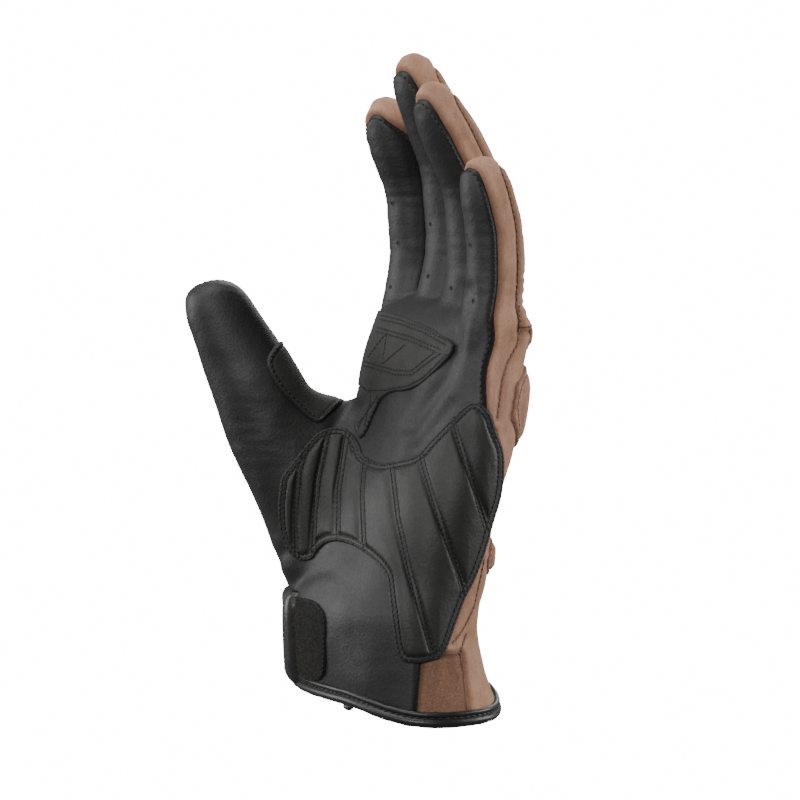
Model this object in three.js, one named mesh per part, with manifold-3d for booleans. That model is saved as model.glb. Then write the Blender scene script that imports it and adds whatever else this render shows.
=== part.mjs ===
// Left motorcycle glove in the shape that it has when worn, hollow from the cuff to the fingertips.
// Millimetres, +Z towards the fingertips, palm to -Y, thumb to -X.
// The origin is the middle of the cuff opening.
import * as THREE from 'three';
import { mergeVertices } from 'three/addons/utils/BufferGeometryUtils.js';
import Module from 'manifold-3d';

const wasm = await Module();
wasm.setup();

// Driving dimensions
const palmWidth = 92;
const palmDepth = 39;
const palmHeight = 148;
const wall = 1.8;
const seamGap = 0.3;
const cuffRise = 5;
const fingerLength = 105;
const fingerWidth = 21.5;
const fingerDepth = 24;
const thumbReach = 73;
const thumbWidth = 27;
const thumbDepth = 25;
const thumbTurn = 57;
const thumbSet = 24;
const webSet = 25;
const handSides = 28;
const fingerSides = 12;
const thumbSides = 14;
const innerFineness = 0.68;

// Hand sections from the cuff edge up to the finger forks.
// up is a share of palmHeight, side and wide of palmWidth, back and deep of palmDepth, rise of cuffRise.
// seam is where the palm leather ends on the side, a share of the half depth from the middle.
const handRows = [
  { up: 0, side: -0.02, back: -0.03, wide: 1.03, deep: 1.47, rise: 1, seam: -0.2 },
  { up: 0.076, side: -0.023, back: -0.095, wide: 0.97, deep: 1.42, rise: 0.6, seam: -0.2 },
  { up: 0.212, side: -0.03, back: -0.13, wide: 0.92, deep: 1.39, rise: 0, seam: -0.2 },
  { up: 0.314, side: -0.025, back: 0, wide: 0.91, deep: 1.31, rise: 0, seam: 0.02 },
  { up: 0.426, side: -0.01, back: 0.08, wide: 0.915, deep: 1.16, rise: 0, seam: 0.02 },
  { up: 0.544, side: -0.005, back: 0.22, wide: 0.94, deep: 1.07, rise: 0, seam: 0 },
  { up: 0.636, side: 0, back: 0.345, wide: 0.95, deep: 1.01, rise: 0, seam: -0.05 },
  { up: 0.736, side: 0, back: 0.425, wide: 0.95, deep: 0.955, rise: 0, seam: -0.35 },
  { up: 0.836, side: 0, back: 0.49, wide: 0.94, deep: 0.91, rise: 0, seam: -0.44 },
  { up: 0.916, side: 0.01, back: 0.565, wide: 0.93, deep: 0.84, rise: 0, seam: -0.42 },
  { up: 0.961, side: 0.01, back: 0.6, wide: 0.89, deep: 0.68, rise: 0, seam: -0.4 },
  { up: 0.991, side: 0.01, back: 0.62, wide: 0.76, deep: 0.34, rise: 0, seam: -0.4 },
];

// Fingers. side is a share of palmWidth, back of palmDepth, lean is in degrees.
// long, swing and curl are shares of fingerLength, wide of fingerWidth, deep of fingerDepth.
// swing is how far the middle of the finger stands back, curl how far its tip comes forward.
const fingers = [
  {
    name: 'index', side: -0.34, back: 0.6, lean: -2,
    long: 0.867, wide: 0.977, deep: 0.979, swing: 0.086, curl: 0.124,
  },
  {
    name: 'middle', side: -0.11, back: 0.62, lean: -0.7,
    long: 1, wide: 1, deep: 1, swing: 0.095, curl: 0.171,
  },
  {
    name: 'ring', side: 0.115, back: 0.56, lean: 0.7,
    long: 0.905, wide: 0.953, deep: 0.958, swing: 0.067, curl: 0.2,
  },
  {
    name: 'little', side: 0.33, back: 0.43, lean: 2,
    long: 0.657, wide: 0.865, deep: 0.917, swing: 0.048, curl: 0.067,
  },
].map((finger) => ({
  ...finger,
  length: finger.long * fingerLength,
  width: finger.wide * fingerWidth,
  depth: finger.deep * fingerDepth,
  swing: finger.swing * fingerLength,
  curl: finger.curl * fingerLength,
}));
const fingerRoot = 0.886;

// Sections along a finger. along is a share of its length, the others of its swing, curl, width and depth.
const fingerRows = [
  { along: -0.18, swing: 0, curl: 0, wide: 0.8, deep: 0.7 },
  { along: 0.06, swing: 0.25, curl: 0, wide: 1, deep: 1 },
  { along: 0.34, swing: 0.93, curl: 0.05, wide: 1, deep: 1 },
  { along: 0.58, swing: 0.98, curl: 0.2, wide: 0.98, deep: 0.98 },
  { along: 0.78, swing: 0.74, curl: 0.58, wide: 0.95, deep: 0.93 },
  { along: 0.91, swing: 0.52, curl: 0.86, wide: 0.84, deep: 0.82 },
  { along: 0.965, swing: 0.45, curl: 0.95, wide: 0.62, deep: 0.62 },
  { along: 1, swing: 0.4, curl: 1, wide: 0.28, deep: 0.3 },
];

// Thumb sections. out is a share of thumbReach, up of palmHeight, wide of thumbWidth, deep of thumbDepth.
const thumbRows = [
  { out: 0.314, up: 0.179, wide: 1.04, deep: 1.04 },
  { out: 0.385, up: 0.314, wide: 1.26, deep: 1.2 },
  { out: 0.5, up: 0.486, wide: 1.33, deep: 1.28 },
  { out: 0.65, up: 0.646, wide: 1.33, deep: 1.2 },
  { out: 0.77, up: 0.781, wide: 1.2, deep: 1.08 },
  { out: 0.895, up: 0.908, wide: 0.98, deep: 0.92 },
  { out: 0.945, up: 0.961, wide: 0.92, deep: 0.84 },
  { out: 0.98, up: 1.004, wide: 0.74, deep: 0.68 },
  { out: 0.995, up: 1.028, wide: 0.34, deep: 0.32 },
];

// Sections of the web between the thumb and the hand, in the same shares.
const webRows = [
  { out: 0.33, up: 0.296, wide: 1.04, deep: 1.12 },
  { out: 0.36, up: 0.476, wide: 1.48, deep: 1.2 },
  { out: 0.385, up: 0.616, wide: 1.41, deep: 1.04 },
  { out: 0.39, up: 0.686, wide: 1.18, deep: 0.8 },
  { out: 0.385, up: 0.721, wide: 0.7, deep: 0.4 },
];

const mix = (a, b, t) => a + (b - a) * t;
const radians = THREE.MathUtils.degToRad;

// A closed surface through rings of points, each end closed by a fan.
function loft(rings) {
  const sides = rings[0].length;
  const positions = rings.flat().flatMap((p) => [p.x, p.y, p.z]);
  const index = [];
  for (let row = 0; row < rings.length - 1; row += 1) {
    for (let k = 0; k < sides; k += 1) {
      const a = row * sides + k;
      const b = row * sides + ((k + 1) % sides);
      index.push(a, b, b + sides, a, b + sides, a + sides);
    }
  }
  for (const end of [0, rings.length - 1]) {
    const middle = rings[end].reduce((sum, p) => sum.add(p), new THREE.Vector3()).divideScalar(sides);
    const centre = positions.length / 3;
    positions.push(middle.x, middle.y, middle.z);
    for (let k = 0; k < sides; k += 1) {
      const a = end * sides + k;
      const b = end * sides + ((k + 1) % sides);
      index.push(...(end === 0 ? [centre, b, a] : [centre, a, b]));
    }
  }
  return solid(positions, index);
}

function solid(positions, index) {
  const mesh = new wasm.Mesh({
    numProp: 3,
    vertProperties: Float32Array.from(positions),
    triVerts: Uint32Array.from(index),
  });
  return new wasm.Manifold(mesh);
}

// A three.js geometry as a solid, moved by a matrix.
function fromGeometry(geometry, matrix = new THREE.Matrix4()) {
  const bare = geometry.clone().applyMatrix4(matrix);
  bare.deleteAttribute('normal');
  bare.deleteAttribute('uv');
  const merged = mergeVertices(bare, 1e-4);
  return solid(Array.from(merged.attributes.position.array), Array.from(merged.index.array));
}

// A superellipse point, turned from the palm's middle towards the little finger.
function oval(turn, power) {
  const s = Math.sin(turn);
  const c = Math.cos(turn);
  const across = Math.sign(s) * Math.abs(s) ** (2 / power);
  const through = -Math.sign(c) * Math.abs(c) ** (2 / power);
  return [across, through];
}

const handPower = 2.3;
const fingerPower = 2.15;
const thumbPower = 2.1;

// Hand size and place at a height share, between the rows of the table.
function handAt(up) {
  let k = 0;
  while (k < handRows.length - 2 && up > handRows[k + 1].up) k += 1;
  const a = handRows[k];
  const b = handRows[k + 1];
  const t = (up - a.up) / (b.up - a.up);
  return {
    x: mix(a.side, b.side, t) * palmWidth,
    y: mix(a.back, b.back, t) * palmDepth,
    halfWide: (mix(a.wide, b.wide, t) * palmWidth) / 2,
    halfDeep: (mix(a.deep, b.deep, t) * palmDepth) / 2,
    rise: Math.max(0, mix(a.rise, b.rise, t)) * cuffRise,
    seam: mix(a.seam, b.seam, t),
  };
}

function handPoint(up, turn, grow = 0, lift = 0) {
  const at = handAt(up);
  const [across, through] = oval(turn, handPower);
  const x = at.x + across * (at.halfWide + grow);
  const y = at.y + through * (at.halfDeep + grow);
  const z = up * palmHeight + lift - (at.rise * across) / 2;
  return new THREE.Vector3(x, y, z);
}

function handRing(up, sides, grow = 0, lift = 0) {
  const ring = [];
  for (let k = 0; k < sides; k += 1) {
    ring.push(handPoint(up, (k / sides) * 2 * Math.PI, grow, lift));
  }
  return ring;
}

// The inside of the shell takes fewer sides than the outside.
const sidesOf = (sides, inside) => (inside ? 2 * Math.round((sides * innerFineness) / 2) : sides);

const openEnd = 6;

// A tube that is run out goes on below the cuff edge, so that it cuts right through.
function handTube(grow, inside, runOut) {
  const sides = sidesOf(handSides, inside);
  const last = handRows.length - 1;
  const rings = handRows.map((row, k) => handRing(row.up, sides, grow, k === last ? grow : 0));
  if (runOut) rings.unshift(handRing(0, sides, grow, -openEnd));
  return loft(rings);
}

// A finger's centre line lies in its own plane, leaned about its root.
function fingerFrame(finger) {
  const root = new THREE.Vector3(
    finger.side * palmWidth,
    finger.back * palmDepth,
    fingerRoot * palmHeight,
  );
  const turn = new THREE.Matrix4().makeRotationY(radians(finger.lean));
  return new THREE.Matrix4().makeTranslation(root.x, root.y, root.z).multiply(turn);
}

function fingerLine(finger, along) {
  let k = 0;
  while (k < fingerRows.length - 2 && along > fingerRows[k + 1].along) k += 1;
  const a = fingerRows[k];
  const b = fingerRows[k + 1];
  const t = (along - a.along) / (b.along - a.along);
  const y = mix(a.swing, b.swing, t) * finger.swing - mix(a.curl, b.curl, t) * finger.curl;
  return new THREE.Vector2(y, along * finger.length);
}

const lineStep = 0.03;

function fingerNormal(finger, along) {
  const ahead = fingerLine(finger, along + lineStep);
  const tangent = ahead.sub(fingerLine(finger, along - lineStep)).normalize();
  return new THREE.Vector2(tangent.y, -tangent.x);
}

function fingerTube(finger, grow, inside) {
  const frame = fingerFrame(finger);
  const sides = sidesOf(fingerSides, inside);
  const rings = fingerRows.map((row) => {
    const centre = fingerLine(finger, row.along);
    const normal = fingerNormal(finger, row.along);
    const halfWide = (row.wide * finger.width) / 2 + grow;
    const halfDeep = (row.deep * finger.depth) / 2 + grow;
    const draw = row.along > 0.9 ? grow : 0;
    const ring = [];
    for (let k = 0; k < sides; k += 1) {
      const [across, through] = oval(((k + 0.5) / sides) * 2 * Math.PI, fingerPower);
      const y = centre.x + normal.x * through * halfDeep - normal.y * draw;
      const z = centre.y + normal.y * through * halfDeep + normal.x * draw;
      ring.push(new THREE.Vector3(across * halfWide, y, z).applyMatrix4(frame));
    }
    return ring;
  });
  return loft(rings);
}

// The thumb leans out in a plane that is turned from the palm; deep is measured square to that plane.
function thumbFrame(set) {
  const turn = new THREE.Matrix4().makeRotationZ(radians(thumbTurn));
  return turn.multiply(new THREE.Matrix4().makeTranslation(0, set, 0));
}

function thumbTube(rows, set, grow, inside) {
  const frame = thumbFrame(set);
  const sides = sidesOf(thumbSides, inside);
  const spots = rows.map((row) => new THREE.Vector2(-row.out * thumbReach, row.up * palmHeight));
  const rings = rows.map((row, k) => {
    const before = spots[Math.max(0, k - 1)];
    const after = spots[Math.min(spots.length - 1, k + 1)];
    const tangent = after.clone().sub(before).normalize();
    const halfWide = (row.wide * thumbWidth) / 2 + grow;
    const halfDeep = (row.deep * thumbDepth) / 2 + grow;
    const draw = k > rows.length - 4 ? grow : 0;
    const ring = [];
    for (let side = 0; side < sides; side += 1) {
      const [across, through] = oval((side / sides) * 2 * Math.PI, thumbPower);
      const x = spots[k].x + across * halfWide * tangent.y + tangent.x * draw;
      const z = spots[k].y - across * halfWide * tangent.x + tangent.y * draw;
      ring.push(new THREE.Vector3(x, through * halfDeep, z).applyMatrix4(frame));
    }
    return ring;
  });
  return loft(rings);
}

function wholeHand(grow, inside, runOut) {
  const digits = fingers.map((finger) => fingerTube(finger, grow, inside));
  digits.push(thumbTube(thumbRows, thumbSet, grow, inside), thumbTube(webRows, webSet, grow, inside));
  return digits.reduce((sum, tube) => sum.add(tube), handTube(grow, inside, runOut));
}

const outer = wholeHand(0, false, false);
const inner = wholeHand(-wall, true, true);
const shell = outer.subtract(inner);

// Volumes that part the shell into panels. Each outline is a list of [across, up] in millimetres,
// seen from a direction that is turned from the palm's front towards the little finger.
const reach = 120;

function seenFrom(turn, from, to, outline) {
  const shape = new THREE.Shape(outline.map(([x, y]) => new THREE.Vector2(x, y)));
  const geometry = new THREE.ExtrudeGeometry(shape, { depth: to - from, bevelEnabled: false });
  const matrix = new THREE.Matrix4()
    .makeRotationZ(radians(turn))
    .multiply(new THREE.Matrix4().makeRotationX(Math.PI / 2))
    .multiply(new THREE.Matrix4().makeTranslation(0, 0, from));
  return fromGeometry(geometry, matrix);
}

// Side views of the hand and of a finger, for the cuts that run along their length.
function handFront(shift) {
  const line = handRows.map((row) => {
    const at = handAt(row.up);
    return [at.y + row.seam * at.halfDeep + shift, row.up * palmHeight];
  });
  const [low, high] = [line[0], line[line.length - 1]];
  return seenFrom(90, -reach, reach, [
    [-reach, -openEnd * 3],
    [low[0], -openEnd * 3],
    ...line,
    [high[0], palmHeight + reach],
    [-reach, palmHeight + reach],
  ]);
}

const frontSeam = [
  { along: -0.3, share: -0.42 },
  { along: 0.34, share: -0.42 },
  { along: 0.58, share: -0.42 },
  { along: 0.84, share: -0.46 },
  { along: 0.93, share: -0.62 },
  { along: 0.975, share: -1 },
  { along: 0.98, share: -2.5 },
];
const backSeam = [
  { along: -0.3, share: 0.38 },
  { along: 0.34, share: 0.38 },
  { along: 0.58, share: 0.38 },
  { along: 0.84, share: 0.42 },
  { along: 0.93, share: 0.6 },
  { along: 0.975, share: 1 },
  { along: 0.98, share: 2.5 },
];

function fingerSide(finger, seam, facing, shift) {
  const line = seam.map(({ along, share }) => {
    const spot = fingerLine(finger, along);
    const normal = fingerNormal(finger, along);
    const step = (share * finger.depth) / 2 + shift;
    return [spot.x + normal.x * step, spot.y + normal.y * step];
  });
  const first = line[0];
  const last = line[line.length - 1];
  const outline = [[facing * reach, first[1]], ...line, [facing * reach, last[1]]];
  const frame = fingerFrame(finger).multiply(new THREE.Matrix4().makeRotationZ(Math.PI / 2));
  const shape = new THREE.Shape(outline.map(([y, z]) => new THREE.Vector2(y, z)));
  const geometry = new THREE.ExtrudeGeometry(shape, { depth: finger.width * 2, bevelEnabled: false });
  const upright = new THREE.Matrix4()
    .makeRotationX(Math.PI / 2)
    .multiply(new THREE.Matrix4().makeTranslation(0, 0, -finger.width));
  return fromGeometry(geometry, frame.multiply(upright));
}

// The room of one finger, between the planes that part it from its neighbours.
const fingerBase = 0.926 * palmHeight;

function fingerRoom(k, shrink) {
  const edge = (left, right) => {
    if (!left || !right) return (left ? 1 : -1) * reach;
    return ((left.side + right.side) / 2) * palmWidth;
  };
  const lean = (left, right) => (left && right ? radians((left.lean + right.lean) / 2) : 0);
  const top = fingerBase + reach;
  const left = [fingers[k - 1], fingers[k]];
  const right = [fingers[k], fingers[k + 1]];
  const x0 = edge(...left) + shrink;
  const x1 = edge(...right) - shrink;
  return seenFrom(0, -reach, reach, [
    [x0, fingerBase + shrink],
    [x1, fingerBase + shrink],
    [x1 + Math.tan(lean(...right)) * reach, top],
    [x0 + Math.tan(lean(...left)) * reach, top],
  ]);
}

// The thumb is parted from the hand along a slanting line from the fork to the outer edge.
const forkOut = 0.27;
const forkUp = 0.744;
const thumbEdgeOut = 0.95;
const thumbEdgeUp = 0.576;

function thumbRoom(shift) {
  const fork = [-forkOut * thumbReach, forkUp * palmHeight + shift];
  const outside = [-thumbEdgeOut * thumbReach, thumbEdgeUp * palmHeight + shift];
  const top = 2 * palmHeight;
  return seenFrom(thumbTurn, -reach, reach, [fork, [fork[0], top], [-2 * thumbReach, top],
    [-2 * thumbReach, outside[1]], outside]);
}

const thumbSeam = 0.05;

function thumbFront(shift) {
  const plane = -thumbSet - (thumbSeam * thumbDepth) / 2 + shift;
  return seenFrom(thumbTurn, plane, reach, [
    [-2 * thumbReach, 0],
    [reach, 0],
    [reach, 2 * palmHeight],
    [-2 * thumbReach, 2 * palmHeight],
  ]);
}

const half = seamGap / 2;
const group = new THREE.Group();

const finishes = {
  blackLeather: { color: 0x2b2b2d, roughness: 0.5, metalness: 0 },
  blackPile: { color: 0x151515, roughness: 1, metalness: 0 },
  blackBinding: { color: 0x1b1b1c, roughness: 0.35, metalness: 0 },
  brownSuede: { color: 0x9b7560, roughness: 0.9, metalness: 0 },
};

function addPiece(name, body, finish) {
  const { vertProperties, triVerts } = body.getMesh();
  const geometry = new THREE.BufferGeometry();
  geometry.setAttribute('position', new THREE.BufferAttribute(vertProperties, 3));
  geometry.setIndex(new THREE.BufferAttribute(triVerts, 1));
  const mesh = new THREE.Mesh(geometry, new THREE.MeshStandardMaterial(finishes[finish]));
  mesh.name = name;
  group.add(mesh);
}

// Fingers: black front, brown side strip over the tip, brown back with stretch pleats.
const pleatCount = 3;
const pleatPitch = 6;
const pleatDepth = 0.7;
const pleatWidth = 1.2;
const firstPleat = 4;

function pleats(finger) {
  const frame = fingerFrame(finger);
  let cuts = null;
  for (let k = 0; k < pleatCount; k += 1) {
    const along = (fingerBase - fingerRoot * palmHeight + firstPleat + k * pleatPitch) / finger.length;
    const spot = fingerLine(finger, along);
    const normal = fingerNormal(finger, along);
    const box = new THREE.BoxGeometry(finger.width * 2, pleatDepth * 8, pleatWidth);
    const step = finger.depth / 2 + pleatDepth * 3;
    const place = new THREE.Matrix4()
      .makeTranslation(0, spot.x + normal.x * step, spot.y + normal.y * step)
      .multiply(new THREE.Matrix4().makeRotationX(Math.atan2(normal.y, normal.x)));
    const cut = fromGeometry(box, frame.clone().multiply(place));
    cuts = cuts ? cuts.add(cut) : cut;
  }
  return cuts;
}

fingers.forEach((finger, k) => {
  const sleeve = shell.intersect(fingerRoom(k, half)).subtract(thumbRoom(-half));
  const front = fingerSide(finger, frontSeam, -1, -half);
  const back = fingerSide(finger, backSeam, 1, half);
  addPiece(`finger_front_${finger.name}`, sleeve.intersect(front), 'blackLeather');
  addPiece(`finger_back_${finger.name}`, sleeve.intersect(back).subtract(pleats(finger)), 'brownSuede');
  const strip = sleeve
    .subtract(fingerSide(finger, frontSeam, -1, half))
    .subtract(fingerSide(finger, backSeam, 1, -half));
  addPiece(`finger_side_${finger.name}`, strip, 'brownSuede');
});

const thumbSleeve = shell.intersect(thumbRoom(half));
addPiece('thumb_front', thumbSleeve.intersect(thumbFront(half)), 'blackLeather');
addPiece('thumb_back', thumbSleeve.subtract(thumbFront(-half)), 'brownSuede');

// Hand: black palm, brown back, and a brown side panel at the cuff.
const allFingers = fingers.reduce((sum, finger, k) => {
  const room = fingerRoom(k, -half);
  return sum ? sum.add(room) : room;
}, null);
const handShell = shell.subtract(allFingers).subtract(thumbRoom(-half));
const cuffPanelTop = 0.14 * palmHeight;
const cuffPanelFront = { low: 0.065 * palmWidth, high: 0.085 * palmWidth };
const cuffPanelBack = { low: 0.27 * palmWidth, high: 0.245 * palmWidth };

function cuffPanelRoom(shift) {
  return seenFrom(thumbTurn, 0, reach, [
    [cuffPanelFront.low - shift, -3 * openEnd],
    [cuffPanelBack.low + shift, -3 * openEnd],
    [cuffPanelBack.high + shift, cuffPanelTop + shift],
    [cuffPanelFront.high - shift, cuffPanelTop + shift],
  ]);
}

addPiece('cuff_side_panel', handShell.intersect(cuffPanelRoom(-half)), 'brownSuede');
const handBare = handShell.subtract(cuffPanelRoom(half));
addPiece('palm_panel', handBare.intersect(handFront(-half)), 'blackLeather');
addPiece('back_panel', handBare.subtract(handFront(half)), 'brownSuede');

// Pieces sewn on top lie in a layer between two grown copies of the whole hand.
function layer(from, to) {
  return wholeHand(to, false, true).subtract(wholeHand(from, false, true));
}

const inMillimetres = (points) => points.map(([side, up]) => [side * palmWidth, up * palmHeight]);

// Palm pad: a stitched border with seven padded ribs, seen from the direction that it faces.
const padTurn = 30;
const borderThick = 1.2;
const ribThick = 3.6;
const padWrap = 5;
const padOutline = [
  [-0.47, 0.546], [-0.395, 0.621], [-0.34, 0.656], [-0.28, 0.652], [-0.17, 0.605], [-0.08, 0.588],
  [0.04, 0.59], [0.16, 0.613], [0.23, 0.66], [0.38, 0.748], [0.44, 0.742], [0.49, 0.7],
  [0.54, 0.55], [0.42, 0.3], [0.36, 0.2], [0.32, 0.128], [0.21, 0.128], [0.18, 0.16],
  [0.15, 0.26], [0.08, 0.345], [0, 0.376], [-0.1, 0.39], [-0.22, 0.39], [-0.3, 0.37],
  [-0.345, 0.34], [-0.39, 0.323], [-0.44, 0.33], [-0.485, 0.37], [-0.495, 0.44],
];
const padRibs = [
  [[-0.385, 0.6], [-0.362, 0.628], [-0.36, 0.37], [-0.42, 0.347]],
  [[-0.345, 0.633], [-0.297, 0.628], [-0.222, 0.405], [-0.345, 0.368]],
  [[-0.28, 0.62], [-0.16, 0.582], [-0.052, 0.4], [-0.205, 0.404]],
  [[-0.14, 0.576], [0.024, 0.57], [0.115, 0.463], [0.285, 0.172], [0.222, 0.158], [0.172, 0.294],
    [0.07, 0.385], [-0.03, 0.397]],
  [[0.045, 0.572], [0.2, 0.598], [0.3, 0.435], [0.365, 0.297], [0.31, 0.162], [0.135, 0.463]],
  [[0.215, 0.604], [0.318, 0.685], [0.42, 0.442], [0.378, 0.3], [0.32, 0.435]],
  [[0.335, 0.692], [0.385, 0.716], [0.435, 0.705], [0.47, 0.56], [0.435, 0.45], [0.383, 0.57]],
];

const padNear = -18;
const padRoom = seenFrom(padTurn, padNear, reach, inMillimetres(padOutline));
const padBase = layer(seamGap, seamGap + borderThick).intersect(padRoom).intersect(handFront(padWrap));
const ribLayer = layer(seamGap, seamGap + ribThick).intersect(handFront(padWrap - 2));
const padBody = padRibs.reduce((sum, rib) => {
  const room = seenFrom(padTurn, padNear, reach, inMillimetres(rib));
  return sum.add(ribLayer.intersect(room));
}, padBase);
addPiece('palm_pad', padBody, 'blackLeather');

// Reinforcements of one thickness, sewn on flat.
const patchThick = 1.3;
const patchLayer = layer(seamGap, seamGap + patchThick);
const upperPatch = [
  [-0.21, 0.955], [-0.075, 0.942], [0.1, 0.926], [0.28, 0.893], [0.27, 0.86], [0.15, 0.795],
  [0.05, 0.77], [-0.035, 0.761], [-0.085, 0.751], [-0.12, 0.736], [-0.225, 0.648], [-0.28, 0.674],
  [-0.235, 0.736], [-0.25, 0.753], [-0.3, 0.821], [-0.28, 0.848],
];
const upperNear = -24;
const upperRoom = seenFrom(padTurn, upperNear, reach, inMillimetres(upperPatch));
addPiece('upper_palm_patch', patchLayer.intersect(upperRoom), 'blackLeather');

const crotchWrap = 6;
const crotchPatch = [
  [-0.467, 0.902], [-0.543, 0.841], [-0.538, 0.814], [-0.495, 0.77], [-0.435, 0.732], [-0.378, 0.697],
  [-0.326, 0.676], [-0.278, 0.699], [-0.25, 0.713], [-0.24, 0.75], [-0.283, 0.76], [-0.337, 0.8],
  [-0.4, 0.865],
];
const crotchRoom = seenFrom(thumbTurn, -thumbSet - crotchWrap, reach, inMillimetres(crotchPatch));
addPiece(
  'thumb_crotch_patch',
  patchLayer.intersect(crotchRoom).subtract(padRoom),
  'blackLeather',
);

// Back of the hand: knuckle guard, a small pad at the base of each finger, and the vent pad.
const guardThick = 3.8;
const guardEdge = 1.5;
const guardSet = 7;
const guardOutline = [
  [-0.4, 0.625], [0, 0.6], [0.42, 0.63], [0.42, 0.72], [0.4, 0.835], [0, 0.853], [-0.46, 0.835],
  [-0.5, 0.72],
];
const guardMiddle = 0.726;
const guardRiseWide = 0.88;
const guardRiseHigh = 0.72;
const guardRise = guardOutline.map(([side, up]) => [
  side * guardRiseWide,
  guardMiddle + (up - guardMiddle) * guardRiseHigh,
]);
const backOnly = handFront(guardSet);
const guardBase = layer(seamGap, seamGap + guardEdge)
  .intersect(seenFrom(180, 0, reach, inMillimetres(guardOutline)));
const guardTop = layer(seamGap, seamGap + guardThick)
  .intersect(seenFrom(180, 0, reach, inMillimetres(guardRise)));
addPiece('knuckle_guard', guardBase.add(guardTop).subtract(backOnly), 'brownSuede');

const basePadThick = 2;
const basePadLow = 0.868;
const basePadHigh = 0.945;
const basePadWide = 0.75;
const basePadCorner = 0.02;
const basePadFlat = 0.6;
const basePadLayer = layer(seamGap, seamGap + basePadThick);
for (const finger of fingers) {
  const middle = -finger.side;
  const reachOut = (basePadWide * finger.width) / 2 / palmWidth;
  const corner = reachOut * basePadFlat;
  const room = seenFrom(180, finger.back * palmDepth, reach, inMillimetres([
    [middle - corner, basePadLow], [middle + corner, basePadLow],
    [middle + reachOut, basePadLow + basePadCorner],
    [middle + reachOut, basePadHigh - basePadCorner], [middle + corner, basePadHigh],
    [middle - corner, basePadHigh], [middle - reachOut, basePadHigh - basePadCorner],
    [middle - reachOut, basePadLow + basePadCorner],
  ]));
  addPiece(`finger_base_pad_${finger.name}`, basePadLayer.intersect(room), 'brownSuede');
}

const ventThick = 2.8;
const ventOutline = [
  [-0.38, 0.33], [-0.33, 0.31], [0.22, 0.31], [0.27, 0.33], [0.27, 0.39], [0.22, 0.41],
  [-0.33, 0.41], [-0.38, 0.39],
];
const ventRoom = seenFrom(180, 0, reach, inMillimetres(ventOutline));
addPiece('vent_pad', layer(seamGap, seamGap + ventThick).intersect(ventRoom), 'brownSuede');

// Hem binding: rolled twice round the cuff edge and under it.
const hemOut = 1.9;
const hemHigh = 6.8;
const hemRoll = [
  { out: -wall, lift: -seamGap },
  { out: 0.2 - wall, lift: -0.2 * hemHigh },
  { out: 0.4 * hemOut, lift: -0.25 * hemHigh },
  { out: seamGap + hemOut, lift: 0 },
  { out: seamGap + 0.6 * hemOut, lift: 0.38 * hemHigh },
  { out: seamGap + hemOut, lift: 0.66 * hemHigh },
  { out: seamGap + 0.6 * hemOut, lift: hemHigh },
  { out: seamGap, lift: hemHigh },
  { out: seamGap, lift: -seamGap },
];

function hemRing() {
  const count = hemRoll.length;
  const positions = [];
  const index = [];
  for (let k = 0; k < handSides; k += 1) {
    for (const { out, lift } of hemRoll) {
      const turn = (k / handSides) * 2 * Math.PI;
      const p = handPoint(Math.max(0, lift) / palmHeight, turn, out, Math.min(0, lift));
      positions.push(p.x, p.y, p.z);
    }
  }
  for (let k = 0; k < handSides; k += 1) {
    const next = ((k + 1) % handSides) * count;
    for (let j = 0; j < count; j += 1) {
      const a = k * count + j;
      const b = k * count + ((j + 1) % count);
      const c = next + ((j + 1) % count);
      const d = next + j;
      index.push(a, c, b, a, d, c);
    }
  }
  return solid(positions, index);
}
addPiece('hem_binding', hemRing(), 'blackBinding');

// Wrist strap: from the middle of the back round the thumb side; its end closes on the pile patch.
const strapThick = 3.7;
const strapHigh = 35;
const strapEnd = -0.36 * palmWidth;
const strapStart = 0.09 * palmWidth;
const strapPlan = new THREE.Shape([
  [strapEnd, -reach], [strapEnd, 0], [strapStart, 0], [strapStart, reach], [-reach, reach], [-reach, -reach],
].map(([x, y]) => new THREE.Vector2(x, y)));

function upright(shape, low, high) {
  const geometry = new THREE.ExtrudeGeometry(shape, { depth: high - low, bevelEnabled: false });
  return fromGeometry(geometry, new THREE.Matrix4().makeTranslation(0, 0, low));
}

const hemClear = wholeHand(hemOut + 2 * seamGap, false, true)
  .intersect(upright(strapPlan, -openEnd, hemHigh + cuffRise + seamGap));
const strap = layer(seamGap, seamGap + strapThick).intersect(upright(strapPlan, 0, strapHigh));
addPiece('wrist_strap', strap.subtract(hemClear), 'blackLeather');

// Pile patch that the strap closes on.
const pileThick = 1.8;
const pileOutline = [
  [-0.5, 0.236], [-0.26, 0.236], [-0.2, 0.22], [-0.18, 0.19], [-0.18, 0.08], [-0.21, 0.066], [-0.5, 0.066],
];
const pileRoom = seenFrom(padTurn, 0, reach, inMillimetres(pileOutline));
const pileSide = upright(new THREE.Shape([
  [strapEnd + 2 * seamGap, -reach], [reach, -reach], [reach, 0], [strapEnd + 2 * seamGap, 0],
].map(([x, y]) => new THREE.Vector2(x, y))), 0, strapHigh + reach);
const pile = layer(seamGap, seamGap + pileThick).intersect(pileRoom).intersect(pileSide);
addPiece('pile_patch', pile, 'blackPile');

// Small nub of the pull loop, just below the hem.
const nubWide = 5.5;
const nubDeep = 3;
const nubHigh = 2.6;
const nubTurn = 12;
const nubAt = handPoint(0, radians(nubTurn), -wall / 2, -0.25 * hemHigh - seamGap);
const nub = new THREE.CapsuleGeometry(nubDeep / 2, nubWide - nubDeep, 3, 8);
const nubPlace = new THREE.Matrix4()
  .makeTranslation(nubAt.x, nubAt.y, nubAt.z - nubHigh / 2)
  .multiply(new THREE.Matrix4().makeScale(1, 1, nubHigh / nubDeep))
  .multiply(new THREE.Matrix4().makeRotationZ(Math.PI / 2));
addPiece('pull_nub', fromGeometry(nub, nubPlace), 'blackLeather');

export default group;
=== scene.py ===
import math
import random

import bpy
import numpy as np
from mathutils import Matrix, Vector, noise
from mathutils.bvhtree import BVHTree
from mathutils.kdtree import KDTree


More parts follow.
